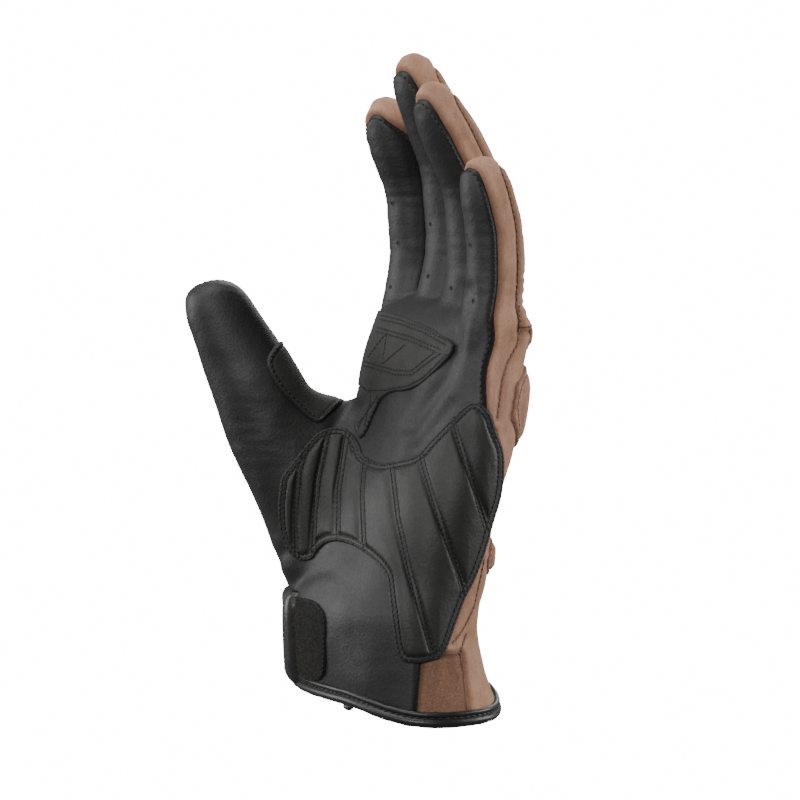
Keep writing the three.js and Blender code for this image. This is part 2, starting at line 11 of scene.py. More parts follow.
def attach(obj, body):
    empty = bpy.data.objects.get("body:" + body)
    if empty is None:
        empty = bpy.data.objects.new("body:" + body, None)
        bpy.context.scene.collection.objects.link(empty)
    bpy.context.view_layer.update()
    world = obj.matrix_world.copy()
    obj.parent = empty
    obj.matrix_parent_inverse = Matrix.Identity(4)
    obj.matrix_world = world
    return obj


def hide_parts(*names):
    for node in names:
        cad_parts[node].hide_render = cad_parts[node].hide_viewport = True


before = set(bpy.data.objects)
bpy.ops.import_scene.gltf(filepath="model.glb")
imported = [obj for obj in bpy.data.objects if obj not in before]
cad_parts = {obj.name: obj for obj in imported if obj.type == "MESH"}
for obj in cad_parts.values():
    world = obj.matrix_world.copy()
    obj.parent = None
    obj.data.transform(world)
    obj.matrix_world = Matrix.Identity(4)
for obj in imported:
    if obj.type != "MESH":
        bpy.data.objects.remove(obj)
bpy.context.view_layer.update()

# Camera: level with the palm and a little above it, seen from the little-finger side of the palm,
# from 1.1 m away. The same numbers turn a place in the picture into a place on the glove.
camera_turn, camera_rise, camera_far = math.radians(57), math.radians(5), 1100.0
aim = np.array([0, 0, 109.5])
to_camera = np.array([
    math.sin(camera_turn) * math.cos(camera_rise),
    -math.cos(camera_turn) * math.cos(camera_rise),
    math.sin(camera_rise),
])
right_hand = np.array([math.cos(camera_turn), math.sin(camera_turn), 0])
upwards = np.cross(to_camera, right_hand)
eye = aim + to_camera * camera_far
focal_pixels = 2970
picture = 800

camera = bpy.data.objects.new("camera", bpy.data.cameras.new("camera"))
camera.data.sensor_width = 36
camera.data.lens = focal_pixels / picture * 36
camera.data.clip_start = 0.05
camera.location = Vector(eye / 1000)
camera.rotation_euler = Vector(to_camera).to_track_quat("Z", "Y").to_euler()
bpy.context.scene.collection.objects.link(camera)
bpy.context.scene.camera = camera


def in_picture(points):
    """Picture places, in pixels of the 800 pixel square, of points in millimetres."""
    away = points - eye
    depth = -(away @ to_camera)
    return np.stack([
        picture / 2 + focal_pixels * (away @ right_hand) / depth,
        picture / 2 - focal_pixels * (away @ upwards) / depth,
    ], axis=-1)


# The form of the glove, as worn: a flattened tube for the hand, four bent tubes for the fingers and
# one for the thumb, drawn together into one smooth skin. All the panels are cut from this skin.
palm_width, palm_depth, palm_height = 92.0, 39.0, 148.0
cuff_rise = 5.0

# up, side, back, wide, deep, rise, seam: shares of the hand's size, as in the frame.
hand_rows = [
    (-0.09, -0.02, -0.03, 1.03, 1.47, 1, -0.2),
    (0, -0.02, -0.03, 1.03, 1.47, 1, -0.2),
    (0.076, -0.023, -0.095, 0.97, 1.42, 0.6, -0.2),
    (0.212, -0.03, -0.13, 0.92, 1.39, 0, -0.2),
    (0.314, -0.025, 0, 0.91, 1.31, 0, 0.02),
    (0.426, -0.01, 0.08, 0.915, 1.16, 0, 0.02),
    (0.544, -0.005, 0.22, 0.94, 1.07, 0, 0),
    (0.636, 0, 0.345, 0.95, 1.01, 0, -0.05),
    (0.736, 0, 0.425, 0.95, 0.955, 0, -0.35),
    (0.836, 0, 0.49, 0.94, 0.91, 0, -0.44),
    (0.916, 0.01, 0.565, 0.93, 0.84, 0, -0.42),
    (0.961, 0.01, 0.6, 0.89, 0.68, 0, -0.4),
    (0.991, 0.01, 0.62, 0.76, 0.34, 0, -0.4),
]
# name, side, back, lean in degrees, then length, width, depth, swing and curl in millimetres.
fingers = [
    ("index", -0.34, 0.6, -2, 91, 21, 24.5, 8.6, 13.6),
    ("middle", -0.11, 0.62, -0.7, 107, 21.5, 24, 10, 17.5),
    ("ring", 0.115, 0.56, 0.7, 96, 20.5, 23, 7, 20.5),
    ("little", 0.33, 0.43, 2, 69.3, 18.6, 22, 5, 6),
]
finger_root = 0.886 * palm_height
finger_base = 0.926 * palm_height
# along, swing, curl, wide, deep
finger_rows = [
    (-0.18, 0, 0, 0.8, 0.7), (0.06, 0.25, 0, 1, 1), (0.34, 0.93, 0.05, 1, 1), (0.58, 0.98, 0.2, 0.98, 0.98),
    (0.78, 0.74, 0.58, 0.94, 0.91), (0.9, 0.53, 0.84, 0.8, 0.74), (0.96, 0.46, 0.93, 0.57, 0.52),
    (1, 0.4, 1, 0.24, 0.22),
]
thumb_reach, thumb_width, thumb_depth = 73.0, 27.0, 25.0
thumb_turn, thumb_set, web_set = math.radians(57), 24.0, 25.0
# out, up, wide, deep
thumb_rows = [
    (0.314, 0.179, 1.04, 1.04), (0.385, 0.314, 1.26, 1.2), (0.5, 0.486, 1.33, 1.28), (0.65, 0.646, 1.33, 1.2),
    (0.77, 0.781, 1.2, 1.08), (0.895, 0.908, 0.98, 0.92), (0.945, 0.961, 0.92, 0.84),
    (0.98, 1.004, 0.74, 0.68), (0.995, 1.028, 0.34, 0.32),
]
web_rows = [
    (0.33, 0.296, 1.04, 1.12), (0.36, 0.476, 1.48, 1.2), (0.385, 0.616, 1.41, 1.04), (0.39, 0.686, 1.18, 0.8),
    (0.372, 0.73, 0.86, 0.46),
]
# The fineness of the skin, what each tube is grown by to make up for its smoothing, and how far the fingers
# are drawn in at their roots to keep them apart, in millimetres.
fineness, growth, squeeze = 0.95, 0.3, 1.3


def smooth_table(rows, at):
    """The columns of a table at these places of its first column, along smooth curves with no overshoot."""
    rows = np.array(rows, float)
    x, y = rows[:, 0], rows[:, 1:]
    step = np.diff(x)[:, None]
    slope = np.diff(y, axis=0) / step
    both = slope[:-1] * slope[1:]
    bend = np.zeros_like(y)
    total = slope[:-1] + slope[1:]
    bend[1:-1] = np.where(both > 0, 2 * both / np.where(both > 0, total, 1), 0)
    bend[0], bend[-1] = slope[0], slope[-1]
    at = np.clip(np.atleast_1d(at), x[0], x[-1])
    k = np.clip(np.searchsorted(x, at) - 1, 0, len(x) - 2)
    h = step[k]
    t = ((at - x[k]) / h[:, 0])[:, None]
    return (
        y[k] * (2 * t**3 - 3 * t**2 + 1) + bend[k] * h * (t**3 - 2 * t**2 + t)
        + y[k + 1] * (3 * t**2 - 2 * t**3) + bend[k + 1] * h * (t**3 - t**2)
    )


def ease(x, low, high):
    """0 below low, 1 above high, and a smooth turn between."""
    t = np.clip((x - low) / (high - low), 0, 1)
    return t * t * (3 - 2 * t)


def oval(turns, power):
    """Places across and through a rounded oval, squarer with more power, at turns from the palm side."""
    s, c = np.sin(turns), np.cos(turns)
    return np.sign(s) * np.abs(s) ** (2 / power), -np.sign(c) * np.abs(c) ** (2 / power)


def tube(rings):
    """Vertices and faces of a closed tube through rings of points."""
    rings = np.array(rings)
    rows, sides = rings.shape[:2]
    faces = [
        (r * sides + k, r * sides + (k + 1) % sides, (r + 1) * sides + (k + 1) % sides, (r + 1) * sides + k)
        for r in range(rows - 1) for k in range(sides)
    ]
    faces.append(tuple(reversed(range(sides))))
    faces.append(tuple(range((rows - 1) * sides, rows * sides)))
    return rings.reshape(-1, 3), faces


def hand_at(up):
    """The hand's middle, half width, half depth, rise and seam share at these shares of its height."""
    side, back, wide, deep, rise, seam = smooth_table(hand_rows, up).T
    return (
        side * palm_width, back * palm_depth, wide * palm_width / 2, deep * palm_depth / 2,
        rise * cuff_rise, seam,
    )


def hand_point(up, turns, grow=0.0):
    """Points of the hand's tube at these heights and turns from the palm's middle."""
    x, y, half_wide, half_deep, rise, _ = hand_at(up)
    across, through = oval(turns, 2.3)
    return np.stack([
        x + across * (half_wide + grow), y + through * (half_deep + grow),
        np.atleast_1d(up) * palm_height - rise * across / 2,
    ], axis=-1)


def thumb_tube(rows, set_back):
    """A tube up the thumb's own plane, which is turned out from the palm."""
    last = len(rows) - 1
    place = np.linspace(0, last, 26)
    table = smooth_table([(k, *row) for k, row in enumerate(rows)], place)
    spots = np.stack([-table[:, 0] * thumb_reach, table[:, 1] * palm_height], axis=1)
    along = np.gradient(spots, axis=0)
    along /= np.linalg.norm(along, axis=1)[:, None]
    across, through = oval(np.linspace(0, 2 * np.pi, 48, endpoint=False), 2.1)
    rings = []
    for spot, (tx, tz), (_, _, wide, deep) in zip(spots, along, table):
        half_wide, half_deep = wide * thumb_width / 2 + growth, deep * thumb_depth / 2 + growth
        x = spot[0] + across * half_wide * tz
        z = spot[1] - across * half_wide * tx
        y = set_back + through * half_deep
        c, s = math.cos(thumb_turn), math.sin(thumb_turn)
        rings.append(np.stack([x * c - y * s, x * s + y * c, z], axis=1))
    return tube(rings)


class Finger:
    """One finger: its own frame, centre line and size."""

    def __init__(self, name, side, back, lean, length, width, depth, swing, curl):
        self.name, self.length, self.width, self.depth = name, length, width, depth
        self.swing, self.curl, self.lean = swing, curl, math.radians(lean)
        self.root = np.array([side * palm_width, back * palm_depth, finger_root])

    def line(self, along):
        """The centre line, as places behind the root and above it."""
        swing, curl = smooth_table([row[:3] for row in finger_rows], along).T
        return np.stack([swing * self.swing - curl * self.curl, np.atleast_1d(along) * self.length], axis=1)

    def square(self, along):
        """The direction square to the centre line, towards the back."""
        tangent = self.line(np.atleast_1d(along) + 0.02) - self.line(np.atleast_1d(along) - 0.02)
        tangent /= np.linalg.norm(tangent, axis=1)[:, None]
        return np.stack([tangent[:, 1], -tangent[:, 0]], axis=1)

    def out(self, local):
        """From the finger's own frame to the glove's."""
        c, s = math.cos(self.lean), math.sin(self.lean)
        x, y, z = local[..., 0], local[..., 1], local[..., 2]
        return np.stack([x * c + z * s, y, z * c - x * s], axis=-1) + self.root

    def inwards(self, points):
        """From the glove's frame to the finger's own."""
        c, s = math.cos(self.lean), math.sin(self.lean)
        x, y, z = (points - self.root).T
        return np.stack([x * c - z * s, y, x * s + z * c], axis=1)

    def drawn_in(self, along):
        """How much narrower the finger is drawn, for its skin to stay apart from the next one's."""
        return squeeze * ease(np.atleast_1d(along), 0.02, 0.16)

    def tube(self):
        """The closed tube of the finger, through an oval at each place along it."""
        place = np.concatenate([np.linspace(-0.18, 0.9, 30), np.linspace(0.92, 1, 7)])
        wide, deep = smooth_table([(r[0], r[3], r[4]) for r in finger_rows], place).T
        centre, square = self.line(place), self.square(place)
        across, through = oval(np.linspace(0, 2 * np.pi, 44, endpoint=False), 2.15)
        rings = []
        for c, n, w, d, drawn in zip(centre, square, wide, deep, self.drawn_in(place)):
            half_wide, half_deep = w * self.width / 2 + growth - drawn, d * self.depth / 2 + growth
            rings.append(self.out(np.stack([
                across * half_wide, c[0] + n[0] * through * half_deep, c[1] + n[1] * through * half_deep,
            ], axis=1)))
        return tube(rings)

    def read(self, points):
        """Place along the finger, distance behind its centre line, and distance across it."""
        local = self.inwards(points)
        place = np.linspace(-0.3, 1.04, 135)
        centre, square = self.line(place), self.square(place)
        far = (local[:, 1:2] - centre[:, 0]) ** 2 + (local[:, 2:3] - centre[:, 1]) ** 2
        k = far.argmin(axis=1)
        behind = (local[:, 1] - centre[k, 0]) * square[k, 0] + (local[:, 2] - centre[k, 1]) * square[k, 1]
        return place[k], behind, local[:, 0]


hand_fingers = [Finger(*row) for row in fingers]

hand_sides = 96
hand_ups = np.concatenate([np.linspace(-0.09, 0.93, 60), np.linspace(0.94, 0.991, 8)])
hand_turns = np.linspace(0, 2 * np.pi, hand_sides, endpoint=False)
forms = [
    tube([hand_point(np.full(hand_sides, up), hand_turns, growth) for up in hand_ups]),
    thumb_tube(thumb_rows, thumb_set), thumb_tube(web_rows, web_set),
    *(finger.tube() for finger in hand_fingers),
]


def joined(parts):
    """Several (vertices, faces) as one."""
    points, faces, start = [], [], 0
    for p, f in parts:
        points.append(p)
        faces.extend(tuple(i + start for i in face) for face in f)
        start += len(p)
    return np.concatenate(points), faces


def new_mesh(name, points, faces, finishes=()):
    """A mesh from points in millimetres."""
    mesh = bpy.data.meshes.new(name)
    mesh.from_pydata((np.asarray(points) / 1000).tolist(), [], [tuple(map(int, f)) for f in faces])
    for finish in finishes:
        mesh.materials.append(finish)
    mesh.update()
    return mesh


def drawn_together(parts, size):
    """One outer skin round overlapping closed forms, as points in millimetres and triangles."""
    whole = bpy.data.objects.new("form", new_mesh("form", *joined(parts)))
    bpy.context.scene.collection.objects.link(whole)
    modifier = whole.modifiers.new("skin", "REMESH")
    modifier.mode = "VOXEL"
    modifier.voxel_size = size / 1000
    modifier.adaptivity = 0
    made = whole.evaluated_get(bpy.context.evaluated_depsgraph_get()).to_mesh()
    made.calc_loop_triangles()
    points = np.empty(len(made.vertices) * 3)
    made.vertices.foreach_get("co", points)
    triangles = np.empty(len(made.loop_triangles) * 3, np.int64)
    made.loop_triangles.foreach_get("vertices", triangles)
    bpy.data.objects.remove(whole)
    return points.reshape(-1, 3) * 1000, triangles.reshape(-1, 3)


def edges_of(triangles):
    """Each edge of these triangles once, as the numbers of its two ends."""
    pairs = np.sort(np.concatenate([triangles[:, :2], triangles[:, 1:], triangles[:, ::2]]), axis=1)
    return np.unique(pairs, axis=0)


def relaxed(points, triangles, times, share=0.5, weight=None):
    """Points drawn towards the middle of their neighbours, so many times."""
    a, b = edges_of(triangles).T
    count = len(points)
    degree = np.bincount(a, minlength=count) + np.bincount(b, minlength=count)
    share = share if weight is None else share * weight[:, None]
    for _ in range(times):
        mean = np.stack([
            np.bincount(a, points[b, i], count) + np.bincount(b, points[a, i], count)
            for i in range(points.shape[1])
        ], axis=1) / degree[:, None]
        points = points + share * (mean - points)
    return points


def normals_of(points, triangles):
    """The direction out of the skin at each point."""
    a, b, c = (points[triangles[:, i]] for i in range(3))
    face = np.cross(b - a, c - a)
    total = np.zeros_like(points)
    for i in range(3):
        for axis in range(3):
            total[:, axis] += np.bincount(triangles[:, i], face[:, axis], len(points))
    return total / np.maximum(np.linalg.norm(total, axis=1), 1e-9)[:, None]


smoothings, ball_smoothings = 22, 260
skin_points, skin_triangles = drawn_together(forms, fineness)
skin_points = relaxed(skin_points, skin_triangles, smoothings)

# The ball of the thumb runs on into the palm under the pad: the valley between the two forms is filled
# by drawing the skin together there, in an oval of the picture.
ball_place, ball_size = (336, 482), (62, 92)
over_ball = np.hypot(*((in_picture(skin_points) - ball_place) / ball_size).T)
leans = normals_of(skin_points, skin_triangles) @ to_camera
drawn = ease(1.25 - over_ball, 0, 0.4) * ease(leans, -0.1, 0.3)
skin_points = relaxed(skin_points, skin_triangles, ball_smoothings, 0.6, drawn)


def between(first, second):
    """The upright, leaning plane between two fingers: its place and slope across."""
    middle = (first.root[0] + second.root[0]) / 2
    return middle, math.tan((first.lean + second.lean) / 2)


planes = [between(a, b) for a, b in zip(hand_fingers, hand_fingers[1:])]


def finger_of(points):
    """The number of the finger whose room holds each point."""
    number = np.zeros(len(points), int)
    for middle, slope in planes:
        number += points[:, 0] > middle + slope * (points[:, 2] - finger_base)
    return number


# Each finger gets its full width back where it was drawn in, but never past the plane to the next one.
number, between_fingers = finger_of(skin_points), 0.12
for k, finger in enumerate(hand_fingers):
    mine = (number == k) & (skin_points[:, 2] > finger_root)
    place, behind, across = finger.read(skin_points[mine])
    wide = smooth_table([(r[0], r[3]) for r in finger_rows], place)[:, 0] * finger.width / 2
    wider = wide / np.maximum(wide - finger.drawn_in(place), 1)
    height = skin_points[mine, 2]
    here = skin_points[mine, 0]
    room = np.full(len(here), 99.0)
    if k > 0:
        middle, slope = planes[k - 1]
        room = np.where(across < 0, here - middle - slope * (height - finger_base), room)
    if k < 3:
        middle, slope = planes[k]
        room = np.where(across > 0, middle + slope * (height - finger_base) - here, room)
    step = np.minimum(np.abs(across) * (wider - 1), np.maximum(room - between_fingers, 0))
    local = finger.inwards(skin_points[mine])
    local[:, 0] += np.sign(across) * step
    skin_points[mine] = finger.out(local)
skin_points = relaxed(skin_points, skin_triangles, 2, 0.4)
number = finger_of(skin_points)

# Seams. Each is the line where a field of distances over the skin is nought: black leather lies where
# front_field is above nought, and the back strip of each finger where back_field is.
x, y, z = skin_points.T
_, mid_y, _, half_deep, _, seam_share = hand_at(z / palm_height)
front_field = mid_y + seam_share * half_deep - y
back_field = np.full(len(z), -9.0)
# along, front share, back share of the finger's half depth
finger_seams = [
    (-0.3, -0.42, 0.38), (0.58, -0.42, 0.38), (0.88, -0.42, 0.42), (0.945, -0.46, 0.65), (0.965, -0.54, 0.85),
    (0.98, -0.72, 1), (0.995, -2.5, 2.5),
]
finger_place = np.zeros(len(z))
seams_from, seams_blend = 125, (129, 142)
for k, finger in enumerate(hand_fingers):
    mine = (number == k) & (z > seams_from)
    place, behind, _ = finger.read(skin_points[mine])
    front_share, back_share = smooth_table(finger_seams, place).T
    if k == 0:
        # The leather of the index finger reaches further round its side, up to near the tip.
        front_share = front_share + 0.75 * ease(-place, -0.95, -0.75)
    blend = ease(z[mine], *seams_blend)
    ahead = front_share * finger.depth / 2 - behind
    front_field[mine] = front_field[mine] * (1 - blend) + ahead * blend
    back_field[mine] = behind - back_share * finger.depth / 2
    finger_place[mine] = place

# In the thumb's own plane: how far out a point is, and how near on the palm's side. The thumb's seam runs
# along the plane, and its leather meets the palm's along the slanting line from the fork.
outwards = x * math.cos(thumb_turn) + y * math.sin(thumb_turn)
nearer = x * math.sin(thumb_turn) - y * math.cos(thumb_turn)
fork = np.array([-0.27 * thumb_reach, 0.744 * palm_height])
thumb_edge = np.array([-0.95 * thumb_reach, 0.576 * palm_height])
slant = (thumb_edge - fork) / np.linalg.norm(thumb_edge - fork)
above = (outwards - fork[0]) * slant[1] - (z - fork[1]) * slant[0]
thumb_field = np.minimum(above, fork[0] - outwards)
blend = ease(thumb_field, -14, 6)
thumb_seam = thumb_set + 4.5
front_field = front_field * (1 - blend) + (nearer + thumb_seam) * blend
front_field = relaxed(front_field[:, None], skin_triangles, 8)[:, 0]

# The brown side panel of the cuff, between the palm leather and the raised seam: a little narrower above.
cuff_top = 20.7
cuff_field = np.minimum.reduce([
    outwards - (0.065 + 0.02 * z / cuff_top) * palm_width,
    (0.27 - 0.025 * z / cuff_top) * palm_width - outwards, cuff_top - z, nearer - 3,
])


def crossed(triangles, values):
    """Where values pass nought: how many corners of each triangle are above it, the corners of the
    triangles that it crosses, the lone one first, and the ends of the edges that it cuts."""
    inside = values[triangles] > 0
    count = inside.sum(axis=1)
    lone = np.where(count == 1, inside.argmax(axis=1), (~inside).argmax(axis=1))
    turned = np.take_along_axis(triangles, (lone[:, None] + np.arange(3)) % 3, axis=1)
    a, b, c = turned[(count == 1) | (count == 2)].T
    pairs = np.sort(np.concatenate([np.stack([a, b], 1), np.stack([a, c], 1)]), axis=1)
    ends, place = np.unique(pairs, axis=0, return_inverse=True)
    return count, (a, b, c), ends.T, place.reshape(-1)


class Part:
    """A piece of skin: points, triangles, and one value or more for each point."""

    def __init__(self, triangles, **columns):
        self.triangles, self.columns = triangles, columns

    def __getitem__(self, name):
        return self.columns[name]

    def kept(self, triangles, columns):
        used, place = np.unique(triangles, return_inverse=True)
        return Part(place.reshape(-1, 3), **{k: v[used] for k, v in columns.items()})

    def cut(self, values):
        """The part where values are above nought, cut clean along the line between its points."""
        count, (a, b, c), (i, j), place = crossed(self.triangles, values)
        share = np.clip(values[i] / (values[i] - values[j]), 0.02, 0.98)
        columns = {}
        for name, column in self.columns.items():
            s = share[:, None] if column.ndim == 2 else share
            columns[name] = np.concatenate([column, column[i] * (1 - s) + column[j] * s])
        start = len(values)
        ab, ac = place[: len(a)] + start, place[len(a):] + start
        one = count[(count == 1) | (count == 2)] == 1
        triangles = np.concatenate([
            self.triangles[count == 3], np.stack([a, ab, ac], 1)[one],
            np.stack([b, c, ac], 1)[~one], np.stack([b, ac, ab], 1)[~one],
        ])
        return self.kept(triangles, columns)

    def finer(self):
        """Each triangle in four."""
        edges = edges_of(self.triangles)
        start = len(next(iter(self.columns.values())))
        key = edges[:, 0] * start + edges[:, 1]
        middles = []
        for i, j in ((0, 1), (1, 2), (2, 0)):
            pair = np.sort(self.triangles[:, [i, j]], axis=1)
            middles.append(np.searchsorted(key, pair[:, 0] * start + pair[:, 1]) + start)
        a, b, c = self.triangles.T
        ab, bc, ca = middles
        triangles = np.concatenate([
            np.stack(row, 1) for row in ((a, ab, ca), (b, bc, ab), (c, ca, bc), (ab, bc, ca))
        ])
        columns = {
            k: np.concatenate([v, (v[edges[:, 0]] + v[edges[:, 1]]) / 2]) for k, v in self.columns.items()
        }
        return Part(triangles, **columns)

    def rim(self):
        """The edges that only one triangle has, in its own direction."""
        t = self.triangles
        pairs = np.concatenate([t[:, [0, 1]], t[:, [1, 2]], t[:, [2, 0]]])
        total = len(next(iter(self.columns.values())))
        low, high = pairs.min(axis=1), pairs.max(axis=1)
        _, first, count = np.unique(low * total + high, return_index=True, return_counts=True)
        return pairs[first[count == 1]]


def chains(segments):
    """Runs of linked points, longest first."""
    links = {}
    for a, b in segments:
        links.setdefault(a, []).append(b)
        links.setdefault(b, []).append(a)
    runs, seen = [], set()
    for start in sorted(links, key=lambda p: len(links[p]) != 1):
        if start in seen:
            continue
        run, here = [start], start
        seen.add(start)
        while True:
            onward = [p for p in links[here] if p not in seen]
            if not onward:
                break
            here = onward[0]
            seen.add(here)
            run.append(here)
        if len(links[run[-1]]) == 2 and run[0] in links[run[-1]]:
            run.append(run[0])
        runs.append(run)
    return sorted(runs, key=len, reverse=True)


shortest_run = 12


def contour(points, triangles, values):
    """The lines over a skin where values are nought, each as points along it."""
    _, _, (i, j), place = crossed(triangles, values)
    share = (values[i] / (values[i] - values[j]))[:, None]
    spots = points[i] * (1 - share) + points[j] * share
    runs = chains(zip(*place.reshape(2, -1).tolist()))
    return [spots[run] for run in runs if len(run) > shortest_run]


def evenly(line, pitch, smooth=3):
    """A line's points again, smoothed and set this far apart."""
    for _ in range(smooth):
        line[1:-1] = (line[:-2] + 2 * line[1:-1] + line[2:]) / 4
    run = np.concatenate([[0], np.cumsum(np.linalg.norm(np.diff(line[:, :3], axis=0), axis=1))])
    at = np.linspace(0, run[-1], max(2, int(run[-1] / pitch) + 1))
    return np.stack([np.interp(at, run, line[:, k]) for k in range(line.shape[1])], axis=1)


def far_from(points, lines, reach=6.0):
    """Distance of each point from the nearest of these lines, up to a reach."""
    spots = np.concatenate([evenly(line.copy(), 0.6) for line in lines])
    tree = KDTree(len(spots))
    for k, spot in enumerate(spots):
        tree.insert(spot, k)
    tree.balance()
    near = np.full(len(points), reach)
    low, high = spots.min(axis=0) - reach, spots.max(axis=0) + reach
    for k in np.flatnonzero(((points > low) & (points < high)).all(axis=1)):
        near[k] = min(reach, tree.find(points[k])[2])
    return near


in_finger = z - finger_base
front_lines = contour(skin_points, skin_triangles, np.where(cuff_field > 0, 5, front_field))
back_lines = contour(skin_points, skin_triangles, np.where(in_finger > -1, back_field, -9))
cuff_lines = contour(skin_points, skin_triangles, cuff_field)
seam_far = far_from(skin_points, front_lines + back_lines + cuff_lines)

# Places and directions of the picture, for what is read straight from it: a line drawn there lies on
# the glove where the camera sees it.
skin_normals = relaxed(normals_of(skin_points, skin_triangles), skin_triangles, 4)
skin_normals /= np.linalg.norm(skin_normals, axis=1)[:, None]
seen = in_picture(skin_points)
to_eye = eye - skin_points
facing = (skin_normals * to_eye).sum(axis=1) / np.linalg.norm(to_eye, axis=1)
millimetres_a_pixel = camera_far / focal_pixels


def rounded(outline, times=2):
    """An outline with its corners cut off, so many times."""
    outline = np.array(outline, float)
    for _ in range(times):
        after = np.roll(outline, -1, axis=0)
        cut = np.stack([outline * 0.78 + after * 0.22, outline * 0.22 + after * 0.78], 1)
        outline = cut.reshape(-1, 2)
    return outline


def rounded_line(line, times=2):
    """An open line with its corners cut off, so many times."""
    line = np.array(line, float)
    for _ in range(times):
        cut = np.stack([line[:-1] * 0.75 + line[1:] * 0.25, line[:-1] * 0.25 + line[1:] * 0.75], 1)
        line = np.vstack([line[:1], cut.reshape(-1, 2), line[-1:]])
    return line


def from_stretch(places, start, end):
    """How far each place is from the straight stretch between two others."""
    along = end - start
    share = np.clip(((places - start) @ along) / max(along @ along, 1e-9), 0, 1)
    return np.linalg.norm(places - start - share[:, None] * along, axis=1)


def inside_by(places, outline, scale=millimetres_a_pixel):
    """How far inside an outline each place is, in millimetres; below nought outside."""
    best = np.full(len(places), 1e9)
    inside = np.zeros(len(places), bool)
    margin = 25
    low, high = outline.min(axis=0) - margin, outline.max(axis=0) + margin
    close = ((places > low) & (places < high)).all(axis=1)
    p = places[close]
    near, odd = best[close], inside[close]
    for a, b in zip(outline, np.roll(outline, -1, axis=0)):
        near = np.minimum(near, from_stretch(p, a, b))
        slope = (b[0] - a[0]) / (b[1] - a[1] if b[1] != a[1] else 1e-9)
        odd ^= ((a[1] > p[:, 1]) != (b[1] > p[:, 1])) & (p[:, 0] < a[0] + (p[:, 1] - a[1]) * slope)
    best[close], inside[close] = near, odd
    return np.where(inside, best, -best) * scale


def off_line(places, line, scale=millimetres_a_pixel):
    """How far from an open line each place is, in millimetres."""
    line = np.array(line, float)
    return np.min([from_stretch(places, a, b) for a, b in zip(line, line[1:])], axis=0) * scale


# Stitched folds on the brown side that show in the picture: the seam that runs on from the little
# finger down the side of the hand, and the gathered seams of the wrist.
side_folds = [
    [(519, 306), (520, 325), (517, 345), (507, 363), (502, 381), (499, 405), (497, 421)],
    [(484, 560), (479, 584), (474, 606), (468, 620), (461, 633), (452, 644)],
    [(466, 634), (461, 650), (460, 668)],
]
fold_far = np.min([off_line(seen, fold) for fold in side_folds], axis=0)
fold_far = np.where((facing > 0.05) & (front_field < 0), fold_far, 9)


def ridge(far, wide):
    """1 on a line, and falling off to both sides of it over about this width."""
    return np.exp(-((far / wide) ** 2))


# Small dents and creases of worn leather: broad soft ones, short ones across the bends, five stretch
# pleats at the root of each finger back, and the creases of the palm, each a line, a depth and a width.
dents = np.array([
    0.5 * noise.noise(spot / 16) + 0.1 * noise.noise(spot / 6) for spot in map(Vector, skin_points)
])
cross = np.array([noise.noise(Vector((px / 14, py / 14, pz / 2.6))) for px, py, pz in skin_points])
finger_bend = ridge(finger_place - 0.32, 0.09) + ridge(finger_place - 0.62, 0.07)
finger_bend = np.where(in_finger > 0, finger_bend, 0)
web_bend = ridge(thumb_field, 14) * (z > 40)
pleats, pleat_start, pleat_end, pleat_height = 5, 3, 21, 0.2
pleat_turn = (in_finger - pleat_start) / (pleat_end - pleat_start) * 2 * np.pi * pleats
pleated = (back_field > 0.6) & (in_finger > pleat_start) & (in_finger < pleat_end)
pleat = np.where(pleated, np.cos(pleat_turn) - 1, 0) * pleat_height * ease(back_field, 0.6, 2.5)
palm_creases = [
    ([(468, 290), (471, 302), (463, 314), (457, 336), (453, 361), (444, 384), (431, 401), (413, 427)], 0.75,
     2.4),
    ([(452, 404), (440, 420), (424, 440), (412, 452)], 0.45, 2.2),
    ([(333, 430), (338, 418), (346, 410), (352, 402)], 0.6, 2.0),
    ([(275, 560), (288, 548), (300, 541), (306, 530)], 0.5, 2.2),
    ([(292, 582), (312, 574), (330, 570)], 0.4, 2.6),
]
crease = np.zeros(len(z))
for line, deep, wide in palm_creases:
    away_by = off_line(seen, rounded_line(line))
    crease += 0.45 * deep * ridge(away_by - 2.2 * wide, 1.3 * wide) - deep * ridge(away_by, wide)
crease = np.where(facing > 0, crease, 0)
skin_lift = (
    -0.95 * ridge(seam_far, 1.0) + 0.28 * ridge(seam_far - 2.6, 1.4)
    - 0.45 * ridge(fold_far, 0.9) + 0.4 * ridge(fold_far - 2.2, 1.2)
    + crease * ease(seam_far, 0, 3) + dents * ease(seam_far, 0, 4)
    + cross * (0.04 + 0.2 * finger_bend + 0.2 * web_bend) * ease(seam_far, 0.5, 4)
    + pleat
)
top_points = skin_points + skin_normals * skin_lift[:, None]
top_normals = normals_of(top_points, skin_triangles)
wall = 1.7
skin = Part(
    skin_triangles, top=top_points, normal=top_normals, under=skin_points - skin_normals * wall,
    base=skin_points, out=skin_normals, seen=seen, facing=facing, front=front_field, back=back_field,
    cuff=cuff_field,
    finger=in_finger, thumb=thumb_field, seam=ease(np.minimum(seam_far, fold_far + 1.2), 0, 3),
)


def hem_middle(across):
    """Height of the middle of the hem: level at the thumb side, lower at the little-finger side."""
    return 2.8 - 5 * ease(across, 8, 46)


under_hem = 1.4
skin = skin.cut(z - hem_middle(x) + under_hem)


# Palm leather: one hide of black cowhide runs over the palm, the finger fronts and the thumb. It is cut as
# the palm, four finger fronts and the thumb's front, which meet without a seam, and lined with a knit.
def colour(code):
    """An sRGB hex value as linear RGBA."""
    parts = [int(code[i:i + 2], 16) / 255 for i in (0, 2, 4)]
    return [c / 12.92 if c <= 0.04045 else ((c + 0.055) / 1.055) ** 2.4 for c in parts] + [1]


